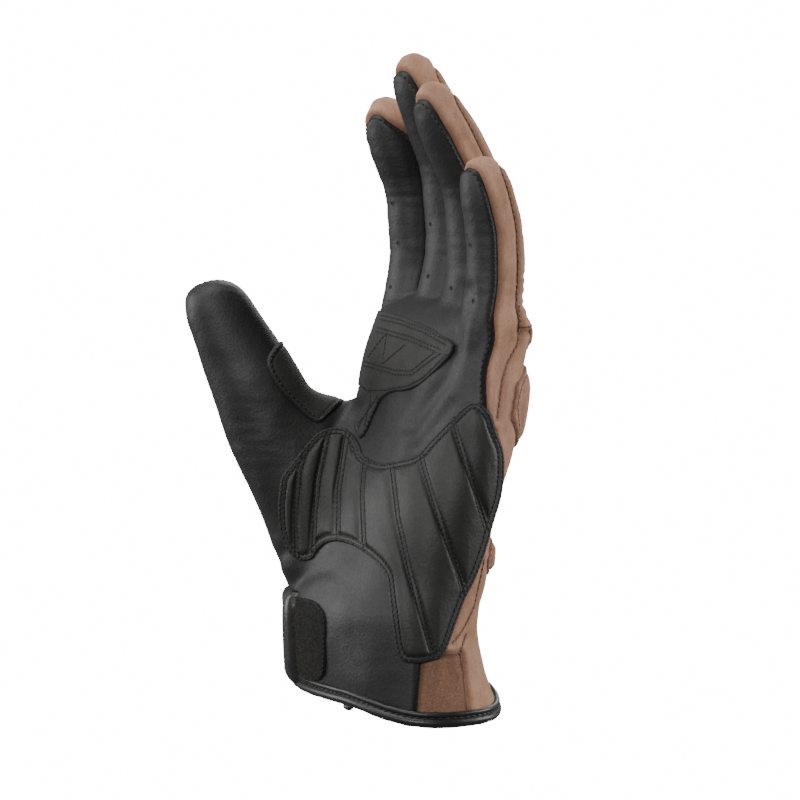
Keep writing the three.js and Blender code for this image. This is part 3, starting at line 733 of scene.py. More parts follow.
def add(tree, kind, inputs=None, **settings):
    """Adds a node with its settings, values and links."""
    made = tree.nodes.new(kind)
    for name, value in settings.items():
        setattr(made, name, value)
    for name, value in (inputs or {}).items():
        socket = made.inputs[name]
        if isinstance(value, bpy.types.NodeSocket):
            tree.links.new(value, socket)
        else:
            socket.default_value = value
    return made


def new_finish(name):
    """A new material, its nodes, its shader, and the place on the glove that its patterns are laid by."""
    finish = bpy.data.materials.new(name)
    finish.use_nodes = True
    tree = finish.node_tree
    shader = tree.nodes["Principled BSDF"]
    place = add(tree, "ShaderNodeTexCoord").outputs["Object"]
    return finish, tree, shader, place


def each_mm(size):
    """A texture scale for a pattern of this size in millimetres."""
    return 1000 / size


def layered(tree, tone, layers):
    """A colour with others laid over it. Each layer is the pattern that says where it shows, the pattern's
    low and high, how far the layer covers at each, and its colour."""
    for pattern, low, high, at_low, at_high, over in layers:
        share = add(tree, "ShaderNodeMapRange", {
            "Value": pattern, "From Min": low, "From Max": high, "To Min": at_low, "To Max": at_high,
        })
        tone = add(
            tree, "ShaderNodeMix", {0: share.outputs["Result"], 6: tone, 7: over}, data_type="RGBA",
        ).outputs[2]
    return tone


def raised(tree, shader, layers):
    """Bumps laid over one another. Each is the pattern, its strength, and its height in metres."""
    laid = {}
    for pattern, strength, height in layers:
        laid = {"Height": pattern, "Strength": strength, "Distance": height, **laid}
        laid = {"Normal": add(tree, "ShaderNodeBump", laid).outputs["Normal"]}
    tree.links.new(laid["Normal"], shader.inputs["Normal"])


def leather(name, dark, light, rough, grain_mm, depth):
    """Smooth leather: pebbled grain, fine stretch lines, paler where it is rubbed, darker in the seams."""
    finish, tree, shader, place = new_finish(name)
    clouds = add(tree, "ShaderNodeTexNoise", {
        "Vector": place, "Scale": each_mm(22), "Detail": 4, "Roughness": 0.6,
    }).outputs["Fac"]
    fine = add(tree, "ShaderNodeTexNoise", {
        "Vector": place, "Scale": each_mm(1.6), "Detail": 5, "Roughness": 0.65,
    }).outputs["Fac"]
    pebble = add(tree, "ShaderNodeTexVoronoi", {
        "Vector": place, "Scale": each_mm(grain_mm), "Randomness": 1.0,
    }).outputs["Distance"]
    lines = add(tree, "ShaderNodeTexNoise", {
        "Vector": add(tree, "ShaderNodeMapping", {"Vector": place, "Scale": (1, 1, 1.8)}).outputs[0],
        "Scale": each_mm(7), "Detail": 6, "Roughness": 0.7,
    }).outputs["Fac"]
    near = add(tree, "ShaderNodeAttribute", attribute_name="seam", attribute_type="GEOMETRY").outputs["Fac"]
    tree.links.new(layered(tree, colour(dark), [
        (clouds, 0.35, 0.68, 0, 1, colour(light)), (fine, 0.4, 0.75, 0, 0.35, colour(light)),
        (near, 0, 1, 0.55, 0, colour("0C0C0C")),
    ]), shader.inputs["Base Color"])
    shine = add(tree, "ShaderNodeMapRange", {
        "Value": clouds, "From Min": 0.3, "From Max": 0.7, "To Min": rough + 0.04, "To Max": rough - 0.04,
    })
    tree.links.new(shine.outputs["Result"], shader.inputs["Roughness"])
    shader.inputs["Specular IOR Level"].default_value = 0.4
    shader.inputs["IOR"].default_value = 1.5
    height = add(tree, "ShaderNodeMix", {0: 0.4, 6: pebble, 7: fine}, data_type="RGBA").outputs[2]
    raised(tree, shader, [(height, depth, 0.0004), (lines, 0.07, 0.001)])
    return finish


def plain(name, code, rough, other=None, speck_mm=0.5, depth=0.3):
    """A simple finish with fine variation in tone and surface."""
    finish, tree, shader, place = new_finish(name)
    fine = add(tree, "ShaderNodeTexNoise", {
        "Vector": place, "Scale": each_mm(speck_mm), "Detail": 3,
    }).outputs["Fac"]
    tone = add(tree, "ShaderNodeMix", {0: fine, 6: colour(code), 7: colour(other or code)}, data_type="RGBA")
    tree.links.new(tone.outputs[2], shader.inputs["Base Color"])
    shader.inputs["Roughness"].default_value = rough
    raised(tree, shader, [(fine, depth, 0.0003)])
    return finish


# Drum-dyed, smooth and lightly waxed: a soft sheen, a fine pebbled grain, and paler rubbed places.
black_cowhide = leather("black_cowhide_waxed", "0F0F0F", "1D1C1C", 0.54, 0.85, 0.34)
# Knitted: quite matt, with a coarse speck. It shows only inside the cuff.
lining = plain("black_knit_lining", "1A1A1B", 0.95, "2A2A2B", 0.9, 0.6)


def placed(name, mesh, stands_for):
    """The mesh as a piece on the glove's one body, standing for the solid of its name or not."""
    made = bpy.data.objects.new(name, mesh)
    bpy.context.scene.collection.objects.link(made)
    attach(made, "root")
    if stands_for:
        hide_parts(name)
    return made


def piece(name, part, finish, backing=lining, outer="top", inner="under", stands_for=True):
    """A closed piece from a part of the skin: its outer face, its inner face, and the cut edge between."""
    t, rim = part.triangles, part.rim()
    count = len(part[outer])
    points = np.concatenate([part[outer], part[inner]])
    a, b = rim.T
    inside = t[:, ::-1] + count
    sides = np.stack([b, a, a + count, b + count], 1)
    mesh = bpy.data.meshes.new(name)
    corners = np.concatenate([t.reshape(-1), inside.reshape(-1), sides.reshape(-1)])
    sizes = np.concatenate([np.full(2 * len(t), 3), np.full(len(sides), 4)])
    mesh.vertices.add(len(points))
    mesh.vertices.foreach_set("co", (points / 1000).reshape(-1))
    mesh.loops.add(len(corners))
    mesh.loops.foreach_set("vertex_index", corners.astype(np.int32))
    mesh.polygons.add(len(sizes))
    mesh.polygons.foreach_set("loop_start", np.concatenate([[0], np.cumsum(sizes)[:-1]]).astype(np.int32))
    mesh.polygons.foreach_set("loop_total", sizes.astype(np.int32))
    mesh.materials.append(finish)
    mesh.materials.append(backing)
    which = np.concatenate([np.zeros(len(t)), np.ones(len(t)), np.zeros(len(sides))])
    mesh.polygons.foreach_set("material_index", which.astype(np.int32))
    mesh.update(calc_edges=True)
    mesh.polygons.foreach_set("use_smooth", np.ones(len(sizes), bool))
    near = mesh.attributes.new("seam", "FLOAT", "POINT")
    near.data.foreach_set("value", np.tile(part["seam"], 2).astype(np.float32))
    outer_normals = part["normal"] / np.maximum(np.linalg.norm(part["normal"], axis=1), 1e-9)[:, None]
    flat = np.cross(points[b] - points[a], points[a + count] - points[a])
    flat /= np.maximum(np.linalg.norm(flat, axis=1), 1e-9)[:, None]
    corner_normals = np.concatenate([
        outer_normals[t.reshape(-1)], -outer_normals[t[:, ::-1].reshape(-1)], np.repeat(-flat, 4, axis=0),
    ])
    mesh.normals_split_custom_set(corner_normals.tolist())
    mesh.validate()
    return placed(name, mesh, stands_for)


def of_finger(part, k):
    """The part of one finger, between the planes beside it."""
    part = part.cut(part["finger"])
    for j in (k - 1, k):
        if 0 <= j < 3:
            middle, slope = planes[j]
            side = part["base"][:, 0] - middle - slope * (part["base"][:, 2] - finger_base)
            part = part.cut(side if j < k else -side)
    return part


gap, cuff_gap = 0.07, 0.01
hand_skin = skin.cut(-skin["finger"])
palm_skin = hand_skin.cut(-hand_skin["thumb"])
thumb_skin = hand_skin.cut(hand_skin["thumb"])
finger_skins = [of_finger(skin, k) for k in range(4)]
palm_front = palm_skin.cut(palm_skin["front"] - gap)
piece("palm_panel", palm_front.cut(-palm_front["cuff"] - cuff_gap), black_cowhide)
piece("thumb_front", thumb_skin.cut(thumb_skin["front"] - gap), black_cowhide)
for finger, part in zip(hand_fingers, finger_skins):
    piece(f"finger_front_{finger.name}", part.cut(part["front"] - gap), black_cowhide)

# Lining: the black knit that shows inside the cuff opening, held by the hem.
lining_height, lining_depth = 16, (0.04, 0.65)
lining_part = palm_skin.cut(lining_height - palm_skin["base"][:, 2])
for face, deep in zip(("close", "far"), lining_depth):
    lining_part.columns[face] = lining_part["base"] - lining_part["out"] * (wall + deep)
piece("cuff_lining", lining_part, lining, outer="close", inner="far", stands_for=False)

# Brown suede: the back, the thumb's back, a strip round each finger's side and tip, a back strip with
# stretch pleats, and the side panel of the cuff, all sewn edge to edge.
def suede(name, dark, light, nap_mm=0.55):
    """Split leather buffed to a nap: quite matt, mottled where the nap lies this way and that, and darker
    along the seams."""
    finish, tree, shader, place = new_finish(name)
    brushed = add(tree, "ShaderNodeTexNoise", {
        "Vector": add(tree, "ShaderNodeMapping", {"Vector": place, "Scale": (1, 1, 0.6)}).outputs[0],
        "Scale": each_mm(7), "Detail": 7, "Roughness": 0.72,
    }).outputs["Fac"]
    cloud = add(tree, "ShaderNodeTexNoise", {
        "Vector": place, "Scale": each_mm(34), "Detail": 3,
    }).outputs["Fac"]
    nap = add(tree, "ShaderNodeTexNoise", {
        "Vector": place, "Scale": each_mm(nap_mm), "Detail": 3, "Roughness": 0.8,
    }).outputs["Fac"]
    near = add(tree, "ShaderNodeAttribute", attribute_name="seam", attribute_type="GEOMETRY").outputs["Fac"]
    tone = layered(tree, colour(dark), [
        (brushed, 0.34, 0.66, 0, 1, colour(light)), (cloud, 0.35, 0.7, 0, 0.4, colour(light)),
    ])
    speck = layered(tree, colour("5C4031"), [(nap, 0.3, 0.72, 0, 1, colour("C09A82"))])
    tone = add(tree, "ShaderNodeMix", {0: 0.3, 6: tone, 7: speck}, data_type="RGBA").outputs[2]
    tone = layered(tree, tone, [(near, 0, 0.8, 0.5, 0, colour("37231A"))])
    tree.links.new(tone, shader.inputs["Base Color"])
    for socket, value in {
        "Roughness": 0.95, "Specular IOR Level": 0.15, "Sheen Weight": 0.2, "Sheen Roughness": 0.45,
        "Sheen Tint": colour("D2A68C"),
    }.items():
        shader.inputs[socket].default_value = value
    raised(tree, shader, [(nap, 0.55, 0.0005), (brushed, 0.2, 0.001)])
    return finish


# Buffed to a short nap: matt, with a faint pale bloom at its edges, and mottled where it is stroked.
brown_suede = suede("brown_suede_buffed", "8C6551", "B08A73")
# The same suede with its colour made darker, as painted shade, for the side panel of the cuff.
suede_shaded_copy = suede("brown_suede_painted_shade", "493126", "674938")
for finger, part in zip(hand_fingers, finger_skins):
    rest = part.cut(-part["front"] - gap)
    piece(f"finger_side_{finger.name}", rest.cut(-rest["back"] - gap), brown_suede)
    piece(f"finger_back_{finger.name}", rest.cut(rest["back"] - gap), brown_suede)
piece("thumb_back", thumb_skin.cut(-thumb_skin["front"] - gap), brown_suede)
palm_back = palm_skin.cut(-palm_skin["front"] - gap)
piece("back_panel", palm_back.cut(-palm_back["cuff"] - cuff_gap), brown_suede)
# The cuff's side panel takes the darker copy of the suede, with painted shade in its colour.
piece("cuff_side_panel", palm_skin.cut(palm_skin["cuff"] - cuff_gap), suede_shaded_copy)

# Seam stitching: a lock stitch, 2.3 mm long, black along the edge of the palm leather, and brown in the
# seams and the gathered folds of the back. The needle leaves a small hole at each end of a stitch.
stitch_pitch, seam_inset = 2.3, 1.35
# Bonded black polyester: smooth, with a dull shine. The twisted brown and tan threads are hairier and matt.
black_thread = plain("black_thread_bonded", "060606", 0.6, "151515")
brown_thread = plain("brown_thread_twisted", "3A251B", 0.75, "6B4836")
tan_thread = plain("tan_thread_twisted", "67493A", 0.8, "8A6753")
# The bottom of a needle hole, dark because no light gets in; in suede the raw hide shows paler.
needle_hole = plain("needle_hole_shadow", "040404", 0.9)
brown_hole = plain("brown_needle_hole", "3F2A20", 0.9)


def stitches(name, rows, finish, thick=0.26, pitch=stitch_pitch, lift=0.02, holes=needle_hole):
    """Stitches along rows of points with normals, and the needle hole at each end of a stitch."""
    turns = np.linspace(0, 2 * np.pi, 6, endpoint=False)
    half_long, steps, fewest = pitch * 0.4, 4, 6
    stitch, stitch_faces = tube([
        [
            (s * half_long, thick * r * math.cos(t), thick * (r * math.sin(t) + 0.5 - 1.1 * s * s) + lift)
            for t in turns
        ] for s, r in ((-1, 0.3), (-0.62, 0.85), (0, 1), (0.62, 0.85), (1, 0.3))
    ])
    hole = np.array([(0.4 * math.cos(t), 0.4 * math.sin(t), 0.05) for t in turns])
    sewn, which = [], []
    for row in rows:
        if len(row) < fewest:
            continue
        row = evenly(row.copy(), pitch / steps, 1)
        if len(row) < fewest:
            continue
        for k in range(2, len(row) - 2, steps):
            normal = row[k, 3:6] / np.linalg.norm(row[k, 3:6])
            along = row[k + 1, :3] - row[k - 1, :3]
            along = along - normal * (along @ normal)
            along /= max(np.linalg.norm(along), 1e-9)
            axes = np.stack([along, np.cross(normal, along), normal])
            sewn.append((row[k, :3] + stitch @ axes, stitch_faces))
            sewn.append((row[k - 2, :3] + hole @ axes, [tuple(range(len(hole)))]))
            which.extend([0] * len(stitch_faces) + [1])
    mesh = new_mesh(name, *joined(sewn), [finish, holes])
    mesh.polygons.foreach_set("material_index", np.array(which, np.int32))
    mesh.shade_smooth()
    placed(name, mesh, False)


shortest_row = 8


def rows_where(part, values, keep=None):
    """The rows over a part where values are nought, as points with normals; keep picks some of them."""
    both = np.hstack([part["top"], part["normal"]])
    rows = []
    for line in contour(both, part.triangles, values):
        good = np.ones(len(line), int) if keep is None else keep(line).astype(int)
        ends = np.flatnonzero(np.diff(np.concatenate([[0], good, [0]])))
        rows.extend(line[a:b] for a, b in ends.reshape(-1, 2) if b - a > shortest_row)
    return rows


def near_fingers(line):
    """Above the middle of the palm; lower down the pad covers the seam."""
    return line[:, 2] > 96


black_rows = rows_where(skin, skin["front"] - seam_inset, near_fingers)
stitches("seam_stitches_black", black_rows, black_thread)
brown_rows = rows_where(skin, np.where(skin["finger"] > 1, skin["back"] + 0.02, -9))
stitches("seam_stitches_brown", brown_rows, brown_thread, lift=0.2)


class Surface:
    """The top of one part, for laying rows on it where the picture shows them."""

    def __init__(self, part):
        self.tree = BVHTree.FromPolygons(part["top"].tolist(), part.triangles.tolist())

    def row(self, line, aside=0.0):
        """A line of the picture laid on the surface, moved aside by so many millimetres."""
        line = evenly(np.array([(px, py, 0.0) for px, py in line]), 1.2, 0)[:, :2]
        along = np.gradient(line, axis=0)
        along /= np.maximum(np.linalg.norm(along, axis=1), 1e-9)[:, None]
        line = line + np.stack([-along[:, 1], along[:, 0]], 1) * aside / millimetres_a_pixel
        found, rows, jump = [], [], 2.5
        for px, py in line:
            ray = -to_camera * focal_pixels + right_hand * (px - picture / 2) - upwards * (py - picture / 2)
            place, normal, _, _ = self.tree.ray_cast(Vector(eye), Vector(ray))
            if place is None or found and (place - Vector(found[-1][:3])).length > jump:
                rows.append(found)
                found = []
            if place is not None:
                found.append((*place, *normal))
        return np.array(max([*rows, found], key=len)).reshape(-1, 6)


skin_top = Surface(skin)
fold_rows = [skin_top.row(fold) for fold in side_folds]
stitches("fold_stitches_brown", fold_rows, tan_thread, thick=0.24, lift=0.15, holes=brown_hole)


def sewn_on(name, fields, height, finish, backing=lining, finer=1, lift=0.15, under=-0.25):
    """A piece sewn on over the skin. Of its fields, inside is above nought on it; height gives its top."""
    part = Part(skin.triangles, **{**skin.columns, **fields})
    spare = 2.5
    near = part["inside"] > -spare
    part = part.kept(part.triangles[near[part.triangles].any(axis=1)], part.columns)
    for _ in range(finer):
        part = part.finer()
    part = part.cut(part["inside"])
    for key in ("out", "normal"):
        part.columns[key] = part[key] / np.linalg.norm(part[key], axis=1)[:, None]
    part.columns["top"] = part["base"] + part["out"] * (lift + height(part))[:, None]
    part.columns["under"] = part["base"] + part["out"] * under
    part.columns["normal"] = normals_of(part["top"], part.triangles)
    part.columns["seam"] = ease(part["inside"], 0, 1.2)
    return part, piece(name, part, finish, backing)


def edge(d, radius):
    """A quarter-round edge: 0 at the outline, 1 from a radius inside it."""
    t = np.clip(d / radius, 0, 1)
    return np.sqrt(1 - (1 - t) ** 2)


# Palm pad: a shaped piece of black cowhide over foam, double-stitched round its border and along seven
# channels, so that the foam stands up in ribs between them.
# A second hide, waxed like the palm's but a little less shiny and smoother in its grain.
pad_cowhide = leather("pad_cowhide_waxed", "121211", "201F1E", 0.56, 0.85, 0.3)
pad_outline = rounded([
    (282, 474), (306, 444), (317, 432), (331, 427), (345, 428), (355, 436), (361, 447), (363, 456), (372, 461),
    (384, 464), (395, 462), (418, 457), (430, 442), (455, 416), (469, 402), (480, 402), (491, 413), (496, 433),
    (503, 450), (503, 472), (500, 497), (492, 522), (486, 545), (476, 575), (464, 598), (455, 623), (447, 648),
    (440, 659), (430, 662), (415, 664), (402, 662), (396, 651), (393, 628), (389, 593), (388, 577), (381, 566),
    (369, 555), (353, 545), (338, 541), (327, 543), (318, 551), (314, 560), (301, 562), (289, 553), (281, 536),
    (278, 509), (280, 483),
])
pad_channels = [
    [(310, 440), (306, 449), (299, 472), (296, 509), (296, 550), (297, 560)],
    [(330, 429), (327, 437), (318, 479), (315, 518), (313, 556)],
    [(348, 430), (346, 442), (339, 490), (338, 541)],
    [(367, 458), (364, 470), (362, 495), (364, 541), (366, 551)],
    [(391, 463), (393, 475), (398, 518), (411, 575), (430, 646), (434, 660)],
    [(421, 455), (424, 467), (441, 522), (462, 587), (464, 598)],
    [(452, 418), (456, 428), (469, 472), (485, 525), (489, 535)],
]
channel_far = np.min([off_line(skin["seen"], channel) for channel in pad_channels], axis=0)
border_rows, channel_row = (0.95, 2.35), 0.72


def in_view(outline, least):
    """How far inside an outline of the picture the skin is, where it faces the camera at least so much."""
    return np.where(skin["facing"] > least, inside_by(skin["seen"], outline), -9)


def pad_height(part):
    d, c = part["inside"], part["channel"]
    rib = np.minimum(d - 2.9, c - 1.1)
    puff = edge(rib, 1.7) * 0.65 + ease(rib, 0, 6) * 0.35
    rows = np.min([np.abs(d - border_rows[0]), np.abs(d - border_rows[1]), np.abs(c - channel_row)], axis=0)
    return 1.1 * edge(d, 0.8) + 1.3 * puff - 0.2 * ridge(rows, 0.42) * ease(d, 0.3, 0.8)


pad_fields = {"inside": in_view(pad_outline, -0.4), "channel": channel_far}
pad_part, pad = sewn_on("palm_pad", pad_fields, pad_height, pad_cowhide, black_cowhide)
pad_top = Surface(pad_part)
pad_rows = [row for inset in border_rows for row in rows_where(pad_part, pad_part["inside"] - inset)]
pad_rows += [pad_top.row(channel, aside) for channel in pad_channels for aside in (-channel_row, channel_row)]
stitches("pad_stitches", pad_rows, black_thread, thick=0.25, pitch=1.9)

# Upper palm patch: one layer of the same hide under the fingers, with a narrow tail that links it to the
# pad, sewn down with rows of stitches.
# Rubbed with use: the wax is gone, so it is paler and nearly matt.
matte_cowhide = leather("matte_cowhide_rubbed", "191918", "2A2928", 0.68, 0.65, 0.34)
patch_outline = rounded([
    (374, 306), (381, 311), (401, 316), (425, 325), (455, 342), (452, 355), (438, 370), (425, 382), (418, 387),
    (407, 391), (393, 392), (385, 396), (379, 402), (362, 442), (355, 430), (354, 423), (366, 402), (368, 391),
    (360, 386), (344, 372), (352, 340),
], 1)


def patch_height(part):
    return 0.85 * edge(part["inside"], 0.7) - 0.2 * ridge(part["inside"] - 1.1, 0.4)


patch_part, _ = sewn_on(
    "upper_palm_patch", {"inside": in_view(patch_outline, -0.35)}, patch_height, matte_cowhide,
    black_cowhide)
patch_top = Surface(patch_part)
patch_rows = [patch_top.row(line) for line in [
    [(380, 315), (401, 320), (425, 329), (452, 343)],
    [(379, 319), (401, 324), (425, 333), (449, 347)],
    [(377, 327), (411, 337), (442, 350)],
    [(376, 331), (411, 341), (438, 353)],
    [(364, 361), (381, 366), (394, 370), (411, 371), (437, 350)],
    [(363, 365), (381, 370), (394, 374), (411, 375), (442, 352)],
    [(387, 332), (382, 364)], [(387, 332), (367, 358)], [(382, 364), (408, 342)],
    [(368, 390), (385, 390), (407, 386), (424, 377), (448, 353)],
    [(370, 393), (371, 404), (358, 428)], [(378, 396), (358, 424)], [(370, 402), (363, 430)],
    [(379, 399), (362, 437)],
]]
stitches("patch_stitches", patch_rows, black_thread, pitch=1.9)

# Thumb crotch patch: a second layer of the same hide over the fork of the thumb, where it wears most. Its
# edge is turned over a cord, and one row of stitches holds it down.
crotch_outline = rounded([
    (281, 340), (272, 349), (266, 359), (267, 369), (277, 388), (292, 403), (306, 417), (319, 425), (331, 414),
    (341, 405), (345, 399), (338, 392), (318, 372), (300, 352), (288, 336),
], 1)


def crotch_height(part):
    d = part["inside"]
    high = edge(d, 0.8) + 0.3 * ridge(d - 0.8, 0.5) - 0.3 * ridge(d - 1.9, 0.45)
    into_fork = ease(349 - part["seen"][:, 0], 0, 16)
    return high * into_fork


crotch_part, _ = sewn_on(
    "thumb_crotch_patch", {"inside": in_view(crotch_outline, -0.45)}, crotch_height, matte_cowhide,
    black_cowhide)
crotch_row = Surface(crotch_part).row([
    (279, 346), (271, 359), (272, 368), (281, 385), (295, 399), (308, 412), (318, 418), (330, 409), (340, 401),
])
stitches("crotch_stitches", [crotch_row], black_thread, thick=0.3, pitch=2.1)

# Vent holes: punched through the leather of the finger fronts, about 1.4 mm wide, so that the hand gets
# air. The punch leaves a low rolled lip.
def punched(name, spots, finish, radius):
    """Punched holes: a floor painted dark as the shade inside the hole, within a low rolled lip."""
    turns = np.linspace(0, 2 * np.pi, 12, endpoint=False)
    lip, faces = tube([
        [(radius * wide * math.cos(t), radius * wide * math.sin(t), high) for t in turns]
        for wide, high in ((1.3, 0.02), (1.14, 0.15), (1.02, 0.12), (0.98, 0.07))
    ])
    faces = faces[:-2] + faces[-1:]
    made = []
    for spot in spots:
        normal = spot[3:6] / np.linalg.norm(spot[3:6])
        aside = np.cross(normal, [0, 0, 1.0])
        aside /= np.linalg.norm(aside)
        made.append((spot[:3] + lip @ np.stack([aside, np.cross(normal, aside), normal]), faces))
    mesh = new_mesh(name, *joined(made), [finish, needle_hole])
    which = [0] * (len(faces) - 1) + [1]
    mesh.polygons.foreach_set("material_index", np.array(which * len(made), np.int32))
    mesh.shade_smooth()
    placed(name, mesh, False)


vents = [skin_top.row([(px - 4, py), (px + 4, py)]) for px, py in [
    (392, 203), (398, 243), (389, 287), (416, 167), (429, 224), (428, 276), (443, 221), (451, 288), (469, 245),
    (473, 301),
]]
vents = [row[len(row) // 2] for row in vents if len(row) > 5]
punched("finger_vent_holes", vents, black_cowhide, 0.72)

# Knuckle guard: one piece of brown suede over a shaped sheet of foam, across the four knuckles, stitched
# down round its edge and between the knuckles. Its outline is given in shares of the palm's size.
bx, by, bz = skin["base"].T
behind_middle = by - hand_at(bz / palm_height)[1]
from_back = np.stack([-bx, bz], axis=1)


def back_outline(rows):
    return rounded(np.array(rows) * [palm_width, palm_height])


def on_back(outline, least=4):
    """How far inside an outline of the back the skin is, where it lies this far behind the middle."""
    return np.where(behind_middle > least, inside_by(from_back, outline, 1), -9)


guard_outline = back_outline([
    (-0.4, 0.625), (0, 0.6), (0.42, 0.63), (0.43, 0.72), (0.4, 0.835), (0, 0.853), (-0.46, 0.835),
    (-0.49, 0.72),
])
knuckle_lines = [[(-(m + s * -30), 95), (-(m + s * 5), 128)] for m, s in planes]
knuckle_far = np.min([off_line(from_back, line, 1) for line in knuckle_lines], axis=0)
guard_row = 1.5


def guard_height(part):
    d, c = part["inside"], part["channel"]
    cell = np.minimum(d - 2.6, c - 0.9)
    puff = 0.7 * edge(cell, 3.2) + 0.3 * ease(cell, 0, 8)
    return 1.3 * edge(d, 0.8) + 2.2 * puff - 0.25 * ridge(np.minimum(np.abs(d - guard_row), c), 0.45)


guard_fields = {"inside": on_back(guard_outline), "channel": knuckle_far}
guard_part, guard = sewn_on("knuckle_guard", guard_fields, guard_height, brown_suede, finer=0)
guard_rows = rows_where(guard_part, guard_part["inside"] - guard_row)
guard_rows += rows_where(guard_part, np.where(guard_part["inside"] > 2.6, guard_part["channel"] - 0.25, 9))
stitches("guard_stitches", guard_rows, tan_thread, holes=brown_hole)

# Finger base pads: a small foam pad under brown suede on each finger's back, just above the knuckle guard,
# with one row of stitches round it.
def cushion(sheet, sheet_edge, foam, foam_inset, foam_edge, row_inset):
    """The height of a small pad: its sheet of suede, the foam under it, and the dip of its stitches."""
    return lambda part: (
        sheet * edge(part["inside"], sheet_edge) + foam * edge(part["inside"] - foam_inset, foam_edge)
        - 0.2 * ridge(part["inside"] - row_inset, 0.4)
    )


base_row, vent_row = 1.1, 1.2
for finger in hand_fingers:
    middle, half = -finger.root[0] / palm_width, 0.375 * finger.width / palm_width
    pad_shape = back_outline([(middle + half * aside, up) for aside, up in (
        (-0.6, 0.868), (0.6, 0.868), (1, 0.888), (1, 0.925), (0.6, 0.945), (-0.6, 0.945), (-1, 0.925),
        (-1, 0.888),
    )])
    base_part, base_pad = sewn_on(
        f"finger_base_pad_{finger.name}", {"inside": on_back(pad_shape)},
        cushion(0.7, 0.6, 1.3, 1.8, 2.4, base_row), brown_suede)
    stitches(
        f"base_pad_stitches_{finger.name}", rows_where(base_part, base_part["inside"] - base_row), tan_thread,
        thick=0.24, pitch=2.0, holes=brown_hole)

# Vent pad: a bar of brown suede over foam across the back, above the wrist, with a row of stitches round
# it and three rows of punched holes.
vent_outline = back_outline([
    (-0.38, 0.33), (-0.33, 0.31), (0.22, 0.31), (0.27, 0.33), (0.27, 0.39), (0.22, 0.41), (-0.33, 0.41),
    (-0.38, 0.39),
])
vent_part, vent_pad = sewn_on(
    "vent_pad", {"inside": on_back(vent_outline, 0)}, cushion(0.9, 0.7, 1.7, 2.0, 3.2, vent_row),
    brown_suede)
vent_rows = rows_where(vent_part, vent_part["inside"] - vent_row)
stitches("vent_pad_stitches", vent_rows, tan_thread, holes=brown_hole)
vent_top = Surface(vent_part)
hole_middle, hole_step, row_middle, row_step = 5, 3.4, 53.3, 3.2
holes = []
for i in range(-12, 13):
    for j in range(-1, 2):
        px, pz = hole_middle + (i + (j % 2) / 2) * hole_step, row_middle + j * row_step
        place, normal, _, _ = vent_top.tree.ray_cast(Vector((px, 80, pz)), Vector((0, -1, 0)))
        if place is not None and inside_by(np.array([[-px, pz]]), vent_outline, 1)[0] > 3.0:
            holes.append(np.array([*place, *normal]))
punched("vent_pad_holes", holes, brown_suede, 0.55)

# Wrist strap: a thick band of folded, polished cowhide from the back round the thumb side. Its rolled end
# closes on the patch of pile.
# Pressed and polished: smooth, with clear highlights along its roll.
strap_cowhide = leather("strap_cowhide_polished", "161616", "272727", 0.33, 0.9, 0.16)
strap_end, strap_start, strap_low, strap_high = -25.2, 8.3, 1.2, 36.5
strap_rise, strap_roll = 4.4, 5.5
strap_inside = np.minimum.reduce([
    np.where(by < 0, strap_end - bx, strap_start - bx), bz - strap_low, strap_high - bz,
])


def strap_height(part):
    return strap_rise * edge(part["inside"], strap_roll) - 0.3 * ridge(part["inside"] - strap_roll, 0.5)


strap_part, _ = sewn_on(
    "wrist_strap", {"inside": strap_inside}, strap_height, strap_cowhide, finer=0, lift=0.25,
    under=-0.1)
strap_rows = rows_where(strap_part, strap_part["inside"] - strap_roll)
stitches("strap_stitches", strap_rows, black_thread, pitch=2.6)

# Pile patch: the soft side of a hook-and-loop closure, sewn to the front of the wrist for the strap's end.
# It is a knitted nylon with a dense mat of curled fibres, drawn fewer and thicker than they are.
# Knitted nylon under the fibres, deep black. The fibres catch a little light at their ends.
pile_cloth = plain("black_pile_nylon", "020202", 1.0, "0A0A09", 0.35, 0.9)
pile_fibre = plain("pile_fibre_nylon", "030303", 0.7, "3A352C", 0.9, 0.1)
pile_outline = rounded([
    (296, 597), (302, 597), (316, 601), (324, 611), (327, 622), (326, 672), (321, 681), (306, 682), (299, 680),
    (296, 640),
], 1)
pile_part, _ = sewn_on(
    "pile_patch", {"inside": in_view(pile_outline, 0)}, lambda part: 0.9 * edge(part["inside"], 0.6),
    pile_cloth, finer=0)
fibre_count, fibre_radius = 2400, 0.06
dice = random.Random(7)
corner_a, corner_b, corner_c = (pile_part["top"][pile_part.triangles[:, i]] for i in range(3))
areas = np.linalg.norm(np.cross(corner_b - corner_a, corner_c - corner_a), axis=1)
mat = []
for k in dice.choices(range(len(areas)), weights=areas.tolist(), k=fibre_count):
    corners = pile_part.triangles[k]
    u, v = sorted((dice.random(), dice.random()))
    share = np.array([u, v - u, 1 - v])
    if (pile_part["inside"][corners] @ share) < 0.5:
        continue
    foot = pile_part["top"][corners].T @ share
    normal = pile_part["normal"][corners].T @ share
    normal /= np.linalg.norm(normal)
    aside = np.cross(normal, np.array([dice.uniform(-1, 1), dice.uniform(-1, 1), dice.uniform(-1, 1)]))
    aside /= np.linalg.norm(aside)
    other = np.cross(normal, aside)
    tall, lean = dice.uniform(0.4, 1.0), dice.uniform(0.2, 0.9)
    round_it = np.array([other * math.cos(t) + normal * math.sin(t) for t in (0.0, 2.09, 4.19)])
    points, faces = tube([
        foot + normal * (tall * math.sin(s * 2.2)) + aside * (lean * s * s)
        + fibre_radius * (1.15 - s) * round_it
        for s in (0.0, 0.4, 0.75, 1.0)
    ])
    mat.append((points, faces[:-2]))
placed("pile_fibres", new_mesh("pile_fibres", *joined(mat), [pile_fibre]), False)
pile_row = Surface(pile_part).row([(303, 600), (315, 604), (322, 613), (324, 624), (323, 670), (319, 678)])
stitches("pile_stitches", [pile_row], black_thread, pitch=1.9)

